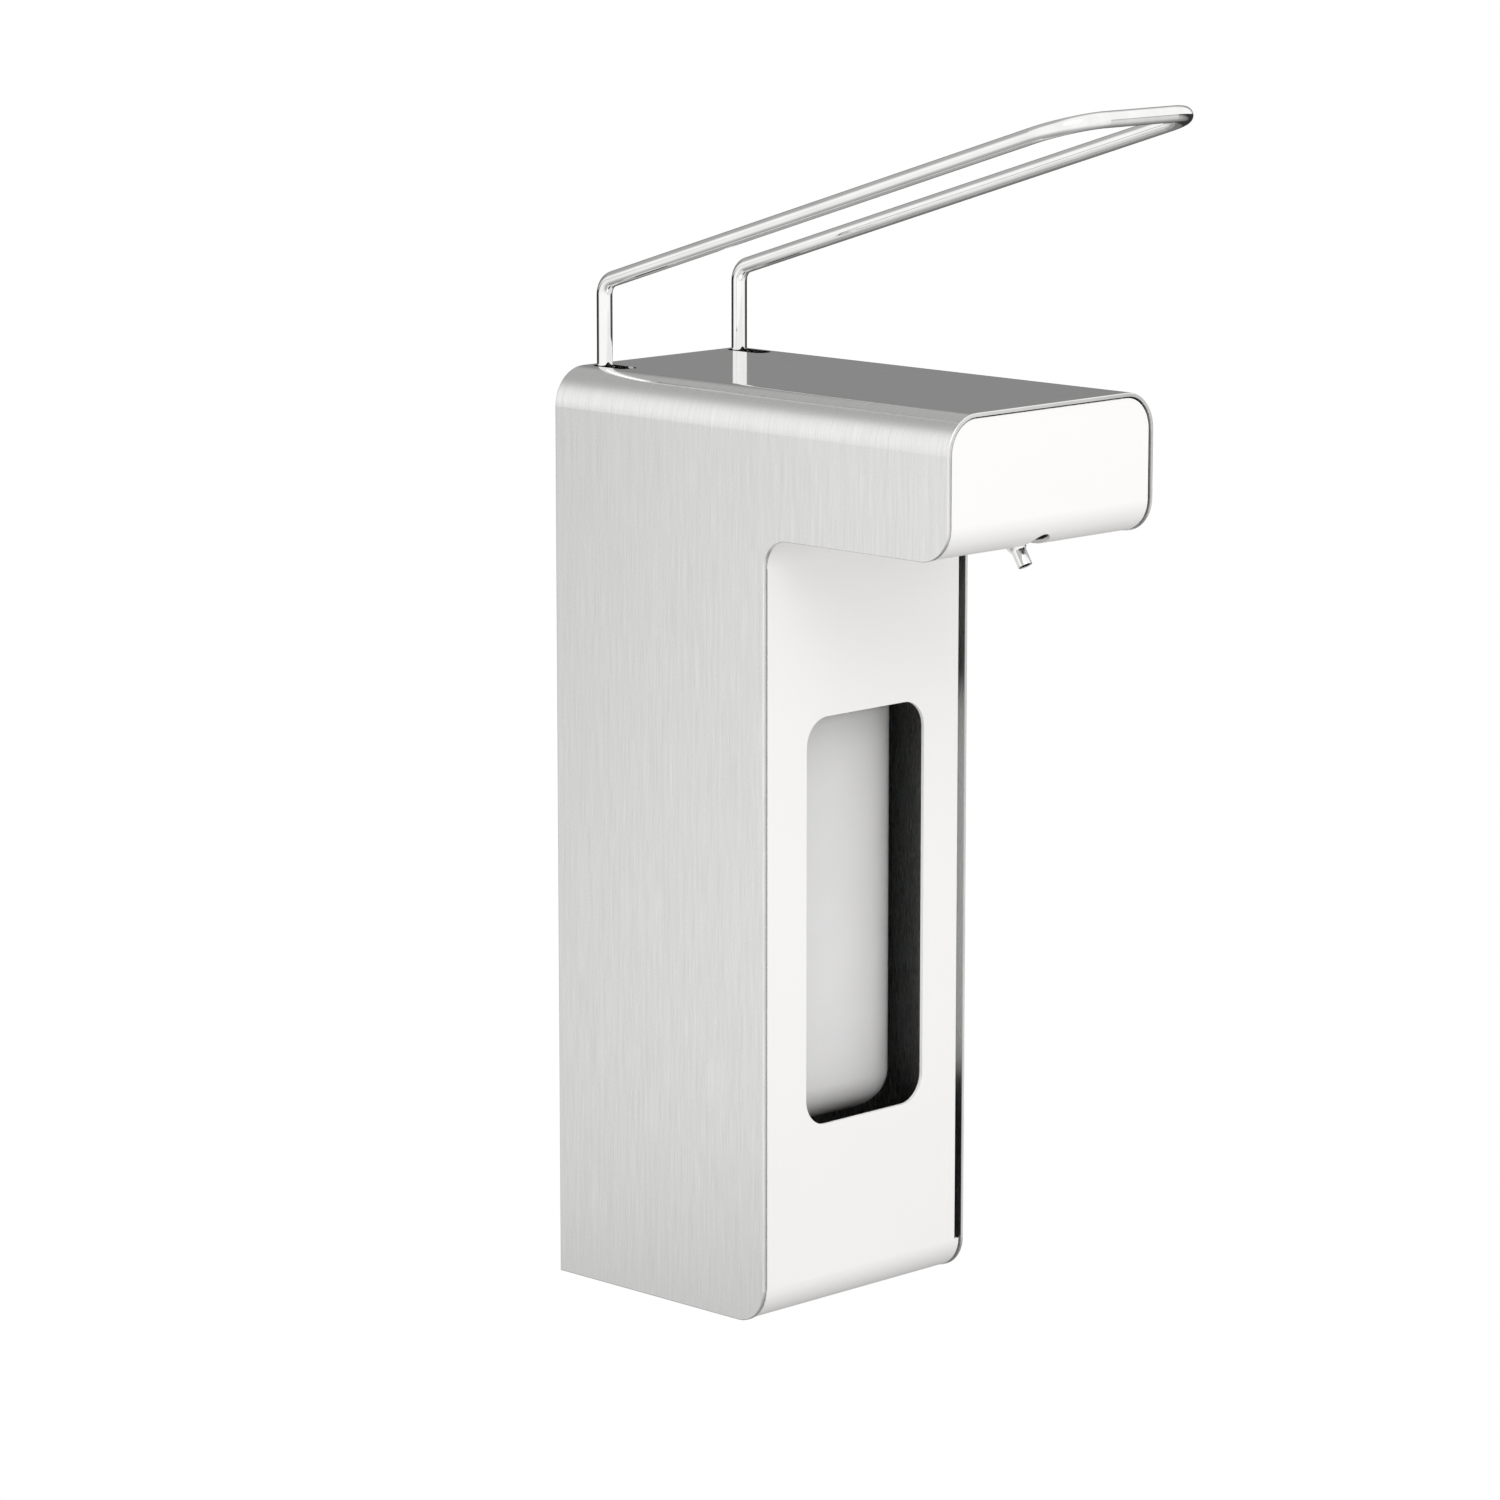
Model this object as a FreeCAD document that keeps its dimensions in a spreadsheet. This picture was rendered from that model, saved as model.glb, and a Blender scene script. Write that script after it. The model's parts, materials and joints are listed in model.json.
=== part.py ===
import FreeCAD, Part

# Wall mounted soap dispenser with an arm lever.
#
# Millimetres, +Z up, the wall is the plane Y = 0 and the user stands at -Y.
# Heights are counted from the bottom edge of the cover while a piece is drawn.
# Each piece is then placed so that the origin is the middle of the four wall screws.

import math
import os

import Sketcher
from FreeCAD import Placement, Rotation, Vector

doc = FreeCAD.newDocument("soap_dispenser")
sheet = doc.addObject("Spreadsheet::Sheet", "sizes")


class Size:
    """A size in millimetres, or an angle in degrees, with the expression that gives it."""

    def __init__(self, value, text):
        self.value = float(value)
        self.text = text

    def __add__(self, other):
        other = as_size(other)
        return Size(self.value + other.value, f"({self.text} + {other.text})")

    def __sub__(self, other):
        other = as_size(other)
        return Size(self.value - other.value, f"({self.text} - {other.text})")

    def __rsub__(self, other):
        return as_size(other) - self

    def __mul__(self, factor):
        return Size(self.value * factor, f"({self.text} * {factor})")

    def __truediv__(self, divisor):
        return Size(self.value / divisor, f"({self.text} / {divisor})")

    def __neg__(self):
        return Size(-self.value, f"(-1 * {self.text})")

    __radd__ = __add__
    __rmul__ = __mul__


def as_size(number):
    return number if isinstance(number, Size) else Size(number, f"({float(number)})")


rows = []


def cell(alias, value):
    """Write one driving size to the sheet and hand it back."""
    rows.append(alias)
    row = len(rows)
    sheet.set(f"A{row}", alias)
    sheet.set(f"B{row}", str(value))
    sheet.setAlias(f"B{row}", alias)
    return Size(value, f"sizes.{alias}")


# ---------------------------------------------------------------- driving sizes

# cover: one bent sheet, a top and two L-shaped sides
width = cell("width", 92)
body_depth = cell("body_depth", 92)
head_depth = cell("head_depth", 168.5)
total_height = cell("total_height", 293)
head_height = cell("head_height", 44.5)
cover_gauge = cell("cover_gauge", 1.2)
bend_radius = cell("bend_radius", 12)
corner_radius = cell("corner_radius", 11)
inner_corner_radius = cell("inner_corner_radius", 9.5)
edge_break = cell("edge_break", 0.3)

# front insert: a coated strip bent three times, between the sides of the cover
insert_gauge = cell("insert_gauge", 1.2)
insert_recess = cell("insert_recess", 0.3)
insert_side_gap = cell("insert_side_gap", 0.7)
insert_top_gap = cell("insert_top_gap", 0.5)
panel_relief_left = cell("panel_relief_left", 0.3)
panel_relief_right = cell("panel_relief_right", 2)
window_width = cell("window_width", 53)
window_height = cell("window_height", 130)
window_bottom = cell("window_bottom", 60)
window_radius = cell("window_radius", 9)
spout_slot_width = cell("spout_slot_width", 9)
spout_slot_front = cell("spout_slot_front", 8)
spout_slot_back = cell("spout_slot_back", 10.5)

# back plate and its wall screw holes
plate_gauge = cell("plate_gauge", 1.5)
plate_gap = cell("plate_gap", 0.5)
fixing_spacing_x = cell("fixing_spacing_x", 50)
fixing_above_bottom = cell("fixing_above_bottom", 60)
fixing_below_top = cell("fixing_below_top", 53)
fixing_hole_radius = cell("fixing_hole_radius", 2.75)

# small screws
screw_radius = cell("screw_radius", 1.5)
screw_clearance = cell("screw_clearance", 0.05)
screw_head_radius = cell("screw_head_radius", 2.8)
screw_head_height = cell("screw_head_height", 1.6)
screw_tip_gap = cell("screw_tip_gap", 0.3)
socket_radius = cell("socket_radius", 1.15)
socket_depth = cell("socket_depth", 1.0)

# bottle, and the tray below it
tray_wall = cell("tray_wall", 2)
tray_height = cell("tray_height", 12)
tray_side_gap = cell("tray_side_gap", 1.8)
tray_lift = cell("tray_lift", 0.1)
tray_corner_radius = cell("tray_corner_radius", 4)
tray_front_gap = cell("tray_front_gap", 3)
tray_screw_rise = cell("tray_screw_rise", 7.2)
bottle_side_gap = cell("bottle_side_gap", 3.8)
bottle_back_gap = cell("bottle_back_gap", 5.5)
bottle_front_gap = cell("bottle_front_gap", 17.5)
bottle_bottom = cell("bottle_bottom", 53)
bottle_corner_radius = cell("bottle_corner_radius", 18)
bottle_base_radius = cell("bottle_base_radius", 12)
bottle_shoulder_radius = cell("bottle_shoulder_radius", 7)
bottle_wall = cell("bottle_wall", 1.2)
shoulder_radius = cell("shoulder_radius", 29)
shoulder_rise = cell("shoulder_rise", 10)
neck_radius = cell("neck_radius", 14)
neck_rise = cell("neck_rise", 22)
neck_below_pivot = cell("neck_below_pivot", 46.2)

# pump
gasket_thickness = cell("gasket_thickness", 1)
flange_thickness = cell("flange_thickness", 2)
flange_inset = cell("flange_inset", 0.2)
ring_wall = cell("ring_wall", 4.2)
ring_thread_gap = cell("ring_thread_gap", 0.3)
ring_skirt = cell("ring_skirt", 14)
ring_lip = cell("ring_lip", 1.8)
barrel_bore = cell("barrel_bore", 7)
barrel_wall = cell("barrel_wall", 3)
housing_wall = cell("housing_wall", 4)
barrel_floor = cell("barrel_floor", 4)
barrel_below_neck = cell("barrel_below_neck", 47)
housing_height = cell("housing_height", 34.5)
valve_hole = cell("valve_hole", 1.8)
foot_length = cell("foot_length", 12)
foot_wall = cell("foot_wall", 1.6)
dip_radius = cell("dip_radius", 2.5)
dip_wall = cell("dip_wall", 0.7)
dip_floor_gap = cell("dip_floor_gap", 3)
push_fit = cell("push_fit", 0.02)
running_fit = cell("running_fit", 0.06)
lid_thickness = cell("lid_thickness", 2.5)
lid_spigot = cell("lid_spigot", 3)
seal_wire = cell("seal_wire", 0.9)
rod_radius = cell("rod_radius", 3)
rod_bore = cell("rod_bore", 1.5)
rod_chamber = cell("rod_chamber", 2.1)
rod_chamber_height = cell("rod_chamber_height", 6.3)
rod_tail = cell("rod_tail", 1)
outlet_seat_rise = cell("outlet_seat_rise", 4)
piston_height = cell("piston_height", 10)
piston_depth = cell("piston_depth", 21)
piston_groove = cell("piston_groove", 1)
cap_radius = cell("cap_radius", 8)
cap_height = cell("cap_height", 3)
cap_skin = cell("cap_skin", 1)
stroke_reserve = cell("stroke_reserve", 12.7)
ball_radius = cell("ball_radius", 2.6)
outlet_ball_radius = cell("outlet_ball_radius", 1.9)
spring_radius = cell("spring_radius", 5.8)
spring_wire = cell("spring_wire", 0.5)
spring_turns = cell("spring_turns", 7)

# outlet
boss_radius = cell("boss_radius", 4.2)
boss_reach = cell("boss_reach", 20)
boss_below_top = cell("boss_below_top", 5)
tube_radius = cell("tube_radius", 2.5)
tube_wall = cell("tube_wall", 0.5)
tube_insertion = cell("tube_insertion", 6)
tube_bend = cell("tube_bend", 8)
spout_tilt = cell("spout_tilt", 32)
spout_setback = cell("spout_setback", 10.6)
spout_drop = cell("spout_drop", 6.1)
nozzle_tip_radius = cell("nozzle_tip_radius", 2.25)
nozzle_collar_radius = cell("nozzle_collar_radius", 3.2)
nozzle_bore = cell("nozzle_bore", 1.6)
nozzle_tip_length = cell("nozzle_tip_length", 5)
nozzle_cone_length = cell("nozzle_cone_length", 1.8)
nozzle_socket = cell("nozzle_socket", 3)

# lever
wire_radius = cell("wire_radius", 2.5)
leg_inset = cell("leg_inset", 16)
leg_to_hub = cell("leg_to_hub", 12.5)
leg_rise = cell("leg_rise", 26.4)
lever_incline = cell("lever_incline", 17.3)
lever_reach = cell("lever_reach", 201)
lever_front_radius = cell("lever_front_radius", 15)
leg_bend = cell("leg_bend", 5.5)
axle_bend = cell("axle_bend", 5)
axle_engagement = cell("axle_engagement", 9.5)
pivot_below_top = cell("pivot_below_top", 25)
leg_slot_gap = cell("leg_slot_gap", 1)
lever_travel = cell("lever_travel", 20)

# rocker, its bearings and the brackets
hub_radius = cell("hub_radius", 4)
hub_clearance = cell("hub_clearance", 2)
grub_socket_radius = cell("grub_socket_radius", 0.8)
arm_width = cell("arm_width", 16)
arm_underside = cell("arm_underside", 0.5)
nose_radius = cell("nose_radius", 4)
nose_gap = cell("nose_gap", 0.1)
bush_wall = cell("bush_wall", 0.94)
bush_flange = cell("bush_flange", 0.7)
bush_flange_length = cell("bush_flange_length", 1.1)
bush_plate_gap = cell("bush_plate_gap", 0.3)
ear_gauge = cell("ear_gauge", 2)
ear_gap = cell("ear_gap", 2)
ear_reach = cell("ear_reach", 12)
ear_above_pivot = cell("ear_above_pivot", 8)
bracket_base = cell("bracket_base", 18)
bracket_gauge = cell("bracket_gauge", 1.5)
bracket_screw_spacing = cell("bracket_screw_spacing", 24)
shelf_width = cell("shelf_width", 52)
shelf_gauge = cell("shelf_gauge", 2)
shelf_reach = cell("shelf_reach", 12)
shelf_drop = cell("shelf_drop", 14)
shelf_above_ring = cell("shelf_above_ring", 3)
shelf_screw_spacing = cell("shelf_screw_spacing", 36.4)
groove_depth = cell("groove_depth", 1.5)
groove_play = cell("groove_play", 0.2)
clip_width = cell("clip_width", 3)
clip_depth = cell("clip_depth", 8)
clip_height = cell("clip_height", 20)
clip_above_bottom = cell("clip_above_bottom", 30)
clip_below_head = cell("clip_below_head", 50)
insert_clip_rise = cell("insert_clip_rise", 20)
insert_clip_overlap = cell("insert_clip_overlap", 4)

# how far a cutting outline runs past the face that it cuts
cut_overrun = cell("cut_overrun", 1)

doc.recompute()

# ---------------------------------------------------------------- shared places

half_width = width / 2
inner_half_width = half_width - cover_gauge
head_bottom = total_height - head_height
inner_top = total_height - cover_gauge
insert_half_width = inner_half_width - insert_side_gap
insert_back = insert_recess + insert_gauge
plate_half_width = inner_half_width - plate_gap
plate_front = -plate_gauge

fixing_top = total_height - fixing_below_top
datum_height = (fixing_above_bottom + fixing_top) / 2

bush_radius = wire_radius + running_fit + bush_wall
leg_setback = plate_gauge + bush_plate_gap + bush_flange + bush_radius
pivot_y = -leg_setback
pivot_height = total_height - pivot_below_top
half_spacing = half_width - leg_inset
hub_half = half_spacing - leg_to_hub
leg_top = total_height + leg_rise
ear_inside = hub_half + ear_gap

tray_bottom = insert_back + tray_lift
tray_floor = tray_bottom + tray_wall
bottle_half_width = inner_half_width - bottle_side_gap
bottle_back = plate_front - bottle_back_gap
bottle_front = -body_depth + insert_back + bottle_front_gap
bottle_half_length = (bottle_back - bottle_front) / 2
pump_y = (bottle_back + bottle_front) / 2
neck_top = pivot_height - neck_below_pivot
bottle_top = neck_top - shoulder_rise - neck_rise
flange_bottom = neck_top + gasket_thickness
flange_top = flange_bottom + flange_thickness
ring_top = flange_top + ring_lip
housing_top = flange_top + housing_height
housing_radius = barrel_bore + housing_wall
barrel_bottom = neck_top - barrel_below_neck
barrel_floor_top = barrel_bottom + barrel_floor
lid_top = housing_top + lid_thickness
cap_bottom = lid_top + stroke_reserve
cap_top = cap_bottom + cap_height
piston_top = lid_top - piston_depth
piston_bottom = piston_top - piston_height
outlet_height = housing_top - boss_below_top
shelf_bottom = ring_top + shelf_above_ring
shelf_top = shelf_bottom + shelf_gauge

nose_height = cap_top + nose_gap + nose_radius
outlet_seat = piston_top + outlet_seat_rise
spout_tip_y = -head_depth + spout_setback
spout_tip_z = head_bottom - spout_drop

grub_x = hub_half - axle_engagement / 2
bracket_top = pivot_height - hub_radius - hub_clearance
bracket_screw_z = bracket_top - bracket_base / 2
bracket_screw_x = bracket_screw_spacing / 2
bracket_screw_places = [(-bracket_screw_x, bracket_screw_z), (bracket_screw_x, bracket_screw_z)]
shelf_screw_z = shelf_bottom - (shelf_drop - shelf_gauge) / 2
shelf_screw_x = shelf_screw_spacing / 2
shelf_screw_places = [(-shelf_screw_x, shelf_screw_z), (shelf_screw_x, shelf_screw_z)]
tray_screw_z = tray_bottom + tray_screw_rise
tray_screw_places = [(-half_spacing, tray_screw_z), (half_spacing, tray_screw_z)]
insert_screw_places = [(-half_spacing, pump_y / 2), (half_spacing, pump_y / 2)]


# ---------------------------------------------------------------- drawing helpers

def bind(item, prop, size):
    """Drive one property of an object from the sheet."""
    item.setExpression(prop, as_size(size).text)


def place(item, x=0, y=0, z=0):
    """Put a sub-part in the frame of the wall screws."""
    bind(item, "Placement.Base.x", x)
    bind(item, "Placement.Base.y", y)
    bind(item, "Placement.Base.z", as_size(z) - datum_height)


def new_body(label):
    body = doc.addObject("PartDesign::Body", label)
    body.Label = label
    return body


def sketch_on(body, plane_role, offset=0):
    """A sketch on one of the body's origin planes, moved along that plane's normal."""
    sketch = body.newObject("Sketcher::SketchObject", "sketch")
    plane = next(item for item in body.Origin.OriginFeatures if item.Role == plane_role)
    sketch.AttachmentSupport = [(plane, "")]
    sketch.MapMode = "FlatFace"
    bind(sketch, "AttachmentOffset.Base.z", offset)
    return sketch


def pin_down(sketch, geometry, point, x, y):
    """Hold one point of a sketch at two driven distances from the sketch's origin."""
    for kind, size in (("DistanceX", as_size(x)), ("DistanceY", as_size(y))):
        constraint = Sketcher.Constraint(kind, -1, 1, geometry, point, size.value)
        bind(sketch, f"Constraints[{sketch.addConstraint(constraint)}]", size)


def outline(sketch, corners):
    """A closed outline of straight lines through the corners."""
    corners = [(as_size(x), as_size(y)) for x, y in corners]
    first = sketch.GeometryCount
    count = len(corners)
    for index in range(count):
        start = Vector(corners[index][0].value, corners[index][1].value, 0)
        after = corners[(index + 1) % count]
        end = Vector(after[0].value, after[1].value, 0)
        sketch.addGeometry(Part.LineSegment(start, end), False)
    for index in range(count):
        ends = (first + index, 2, first + (index + 1) % count, 1)
        sketch.addConstraint(Sketcher.Constraint("Coincident", *ends))
    for index, (x, y) in enumerate(corners):
        pin_down(sketch, first + index, 1, x, y)


def rectangle(sketch, x_low, x_high, y_low, y_high):
    outline(sketch, [(x_low, y_low), (x_high, y_low), (x_high, y_high), (x_low, y_high)])


def rounded_rectangle(sketch, x_low, x_high, y_low, y_high, radius):
    """A rectangle with four equal round corners."""
    x_low, x_high, y_low, y_high = (as_size(size) for size in (x_low, x_high, y_low, y_high))
    left, right, low, high = x_low + radius, x_high - radius, y_low + radius, y_high - radius
    centres = [(left, low), (right, low), (right, high), (left, high)]
    arcs = range(sketch.GeometryCount, sketch.GeometryCount + 4)
    quarter = math.pi / 2
    ends = []
    for index, (x, y) in enumerate(centres):
        round_corner = Part.Circle(Vector(x.value, y.value, 0), Vector(0, 0, 1), radius.value)
        start = math.pi + index * quarter
        arc = Part.ArcOfCircle(round_corner, start, start + quarter)
        ends.append((arc.StartPoint, arc.EndPoint))
        sketch.addGeometry(arc, False)
    for index in range(4):
        straight = Part.LineSegment(ends[index][1], ends[(index + 1) % 4][0])
        line = sketch.addGeometry(straight, False)
        sketch.addConstraint(Sketcher.Constraint("Tangent", arcs[index], 2, line, 1))
        sketch.addConstraint(Sketcher.Constraint("Tangent", line, 2, arcs[(index + 1) % 4], 1))
        sketch.addConstraint(Sketcher.Constraint("Vertical" if index % 2 else "Horizontal", line))
        if index:
            sketch.addConstraint(Sketcher.Constraint("Equal", arcs[0], arcs[index]))
    constraint = sketch.addConstraint(Sketcher.Constraint("Radius", arcs[0], radius.value))
    bind(sketch, f"Constraints[{constraint}]", radius)
    pin_down(sketch, arcs[0], 3, left, low)
    pin_down(sketch, arcs[2], 3, right, high)


def circle(sketch, x, y, radius):
    x, y, radius = as_size(x), as_size(y), as_size(radius)
    shape = Part.Circle(Vector(x.value, y.value, 0), Vector(0, 0, 1), radius.value)
    index = sketch.addGeometry(shape, False)
    pin_down(sketch, index, 3, x, y)
    constraint = sketch.addConstraint(Sketcher.Constraint("Radius", index, radius.value))
    bind(sketch, f"Constraints[{constraint}]", radius)


def pad(body, sketch, length, symmetric=False, reverse=False):
    feature = body.newObject("PartDesign::Pad", "pad")
    feature.Profile = sketch
    feature.SideType = "Symmetric" if symmetric else "One side"
    feature.Reversed = reverse
    bind(feature, "Length", length)
    return feature


def checked_cut(body, feature):
    """Recompute and make sure that a cut has taken something away."""
    before = feature.BaseFeature.Shape.Volume
    doc.recompute()
    if not feature.Shape.Volume < before - 1e-6:
        raise RuntimeError(f"{body.Label}: {feature.Name} removes nothing")
    return feature


def pocket_through(body, sketch, reverse=False, both=False):
    doc.recompute()
    feature = body.newObject("PartDesign::Pocket", "pocket")
    feature.Profile = sketch
    feature.Type = "ThroughAll"
    feature.SideType = "Symmetric" if both else "One side"
    feature.Reversed = reverse
    return checked_cut(body, feature)


def pocket(body, sketch, depth, reverse=False, both=False):
    doc.recompute()
    feature = body.newObject("PartDesign::Pocket", "pocket")
    feature.Profile = sketch
    feature.SideType = "Symmetric" if both else "One side"
    feature.Reversed = reverse
    bind(feature, "Length", depth)
    return checked_cut(body, feature)


def revolve(body, profile, kind="Revolution"):
    """Turn a closed outline of (radius, height) corners round the body's Z axis."""
    sketch = sketch_on(body, "XZ_Plane")
    outline(sketch, profile)
    doc.recompute()
    feature = body.newObject(f"PartDesign::{kind}", kind.lower())
    feature.Profile = sketch
    feature.ReferenceAxis = (sketch, ["V_Axis"])
    feature.Angle = 360
    if kind == "Groove":
        checked_cut(body, feature)
    return feature


def on_line(**fixed):
    """A test for edges whose ends all have the given coordinates."""
    wanted = {axis: as_size(size).value for axis, size in fixed.items()}

    def test(edge):
        ends = [vertex.Point for vertex in edge.Vertexes]
        return all(abs(getattr(end, axis) - size) < 0.01 for end in ends for axis, size in wanted.items())

    return test


def dress(body, kind, size, *tests):
    """Fillet or chamfer every edge of the body that passes one of the tests."""
    doc.recompute()
    base = body.Tip
    if not base.Shape.isValid():
        raise RuntimeError(f"{body.Label}: {base.Name} is not valid")
    names = []
    for index, edge in enumerate(base.Shape.Edges):
        if any(test(edge) for test in tests):
            names.append(f"Edge{index + 1}")
    if not names:
        raise RuntimeError(f"{body.Label}: no edge to {kind.lower()}")
    feature = body.newObject(f"PartDesign::{kind}", kind.lower())
    feature.Base = (base, names)
    bind(feature, "Radius" if kind == "Fillet" else "Size", size)
    return feature


def turned(label, profile, y=0):
    """A piece turned about a vertical axis that stands at y."""
    body = new_body(label)
    revolve(body, profile)
    place(body, y=y)
    return body


def ring(label, inner, outer, low, high, y):
    return turned(label, [(inner, low), (outer, low), (outer, high), (inner, high)], y)


def primitive(kind, name, sizes, x=0, y=0, z=0, turn=None):
    """A Part primitive with driven sizes and a driven place."""
    item = doc.addObject(f"Part::{kind}", name)
    for prop, size in sizes.items():
        bind(item, prop, size)
    if turn:
        item.Placement = Placement(Vector(0, 0, 0), turn)
    bind(item, "Placement.Base.x", x)
    bind(item, "Placement.Base.y", y)
    bind(item, "Placement.Base.z", z)
    return item


def join(name, kind, first, second):
    """Fuse or cut two objects."""
    item = doc.addObject(f"Part::{kind}", name)
    item.Base = first
    item.Tool = second
    return item


def group(label, pieces):
    """Identical pieces that share one node."""
    item = doc.addObject("Part::Compound", label)
    item.Links = pieces
    item.Label = label
    place(item)
    return item


TO_WALL = Rotation(Vector(1, 0, 0), -90)
ALONG_X = Rotation(Vector(0, 1, 0), 90)
AGAINST_X = Rotation(Vector(0, 1, 0), -90)


def wall_screws(label, seat_y, places):
    """Cap screws whose heads sit at seat_y and whose threads end in the back plate."""
    screws = []
    for x, z in places:
        head = primitive("Cylinder", "screw_head", {"Radius": screw_head_radius, "Height": screw_head_height},
                         x, seat_y - screw_head_height, z, TO_WALL)
        shank = primitive("Cylinder", "screw_shank",
                          {"Radius": screw_radius, "Height": -seat_y - screw_tip_gap}, x, seat_y, z, TO_WALL)
        socket = primitive("Prism", "screw_socket", {"Circumradius": socket_radius, "Height": socket_depth},
                           x, seat_y - screw_head_height, z, TO_WALL)
        socket.Polygon = 6
        screws.append(join("screw", "Cut", join("screw_blank", "Fuse", head, shank), socket))
    return group(label, screws)


def screw_holes(body, places, radius):
    """Holes through a body, drilled square to the wall."""
    sketch = sketch_on(body, "XZ_Plane")
    for x, z in places:
        circle(sketch, x, z, radius)
    return pocket_through(body, sketch, reverse=True)


def bent_bar(points, radii, radius):
    """A round bar along straight runs joined by tangent arcs."""
    solids = []
    start = points[0]
    for index in range(1, len(points)):
        corner = points[index]
        run = (corner - points[index - 1]).normalize()
        if index < len(points) - 1:
            onward = (points[index + 1] - corner).normalize()
            turn = run.getAngle(onward)
            bend = radii[index - 1]
            tangent = bend * math.tan(turn / 2)
            end = corner - run * tangent
            axis = run.cross(onward).normalize()
            centre = end + axis.cross(run) * bend
            face = Part.Face(Part.Wire(Part.makeCircle(radius, end, run)))
            solids.append(face.revolve(centre, axis, math.degrees(turn)))
        else:
            end = corner
        solids.append(Part.makeCylinder(radius, (end - start).Length, start, run))
        if index < len(points) - 1:
            start = corner + onward * tangent
    return solids[0].multiFuse(solids[1:]).removeSplitter()


def placed_shape(label, shape, y=0, z=0):
    """A sub-part whose shape is set directly."""
    item = doc.addObject("Part::Feature", label)
    item.Label = label
    item.Shape = shape
    item.Placement = Placement(Vector(0, as_size(y).value, (as_size(z) - datum_height).value), Rotation())
    return item


# ---------------------------------------------------------------- housing

def make_cover():
    """Brushed sheet: top and sides in one, the sides cut to an L with a deep head."""
    body = new_body("cover")
    profile = sketch_on(body, "YZ_Plane")
    outline(profile, [(-head_depth, total_height), (0, total_height), (0, 0), (-body_depth, 0),
                      (-body_depth, head_bottom), (-head_depth, head_bottom)])
    pad(body, profile, width, symmetric=True)
    dress(body, "Fillet", corner_radius,
          on_line(y=-head_depth, z=head_bottom), on_line(y=-body_depth, z=0))
    dress(body, "Fillet", inner_corner_radius, on_line(y=-body_depth, z=head_bottom))
    inside = sketch_on(body, "XZ_Plane")
    rectangle(inside, -inner_half_width, inner_half_width, -corner_radius, inner_top)
    pocket_through(body, inside, both=True)
    dress(body, "Fillet", bend_radius - cover_gauge,
          on_line(x=inner_half_width, z=inner_top), on_line(x=-inner_half_width, z=inner_top))
    dress(body, "Fillet", bend_radius,
          on_line(x=half_width, z=total_height), on_line(x=-half_width, z=total_height))

    # slots for the lever's legs: long enough for the swing, one gap wider than the wire all round
    swing = math.tan(math.radians(lever_travel.value))
    slot_half = wire_radius + leg_slot_gap
    slot_back = pivot_y + slot_half
    slot_front = pivot_y - pivot_below_top * swing - slot_half
    slots = sketch_on(body, "XY_Plane")
    for x in (-half_spacing, half_spacing):
        rounded_rectangle(slots, x - slot_half, x + slot_half, slot_front, slot_back, slot_half - edge_break)
    pocket_through(body, slots, reverse=True)

    # the outer edges of the sides are broken, which gives them their bright line
    dress(body, "Fillet", edge_break, cover_outer_edge)
    place(body)
    return body


def cover_outer_edge(edge):
    """Edges of the outer skin that run down the front, along the bottom and up the back."""
    middle = edge.CenterOfMass
    ends = [vertex.Point for vertex in edge.Vertexes]
    bend_start = total_height.value - bend_radius.value
    on_side = all(abs(abs(end.x) - half_width.value) < 0.01 for end in ends)
    above_bend = all(end.z > bend_start - 0.01 for end in ends)
    along_bend = above_bend and all(abs(end.y - ends[0].y) > 1 for end in ends[1:])
    at_front = all(abs(end.y + head_depth.value) < 0.01 for end in ends)
    outer_arc = at_front and above_bend and not on_side and outside_skin(middle)
    return (on_side and not along_bend) or outer_arc


def outside_skin(point):
    """True on the outer side of the sheet's middle surface, at the top and its two bends."""
    flat_half = half_width.value - bend_radius.value
    if abs(point.x) <= flat_half + 0.01:
        return point.z > total_height.value - cover_gauge.value / 2
    radius = math.hypot(abs(point.x) - flat_half, point.z - (total_height.value - bend_radius.value))
    return radius > (bend_radius - cover_gauge).value


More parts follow.
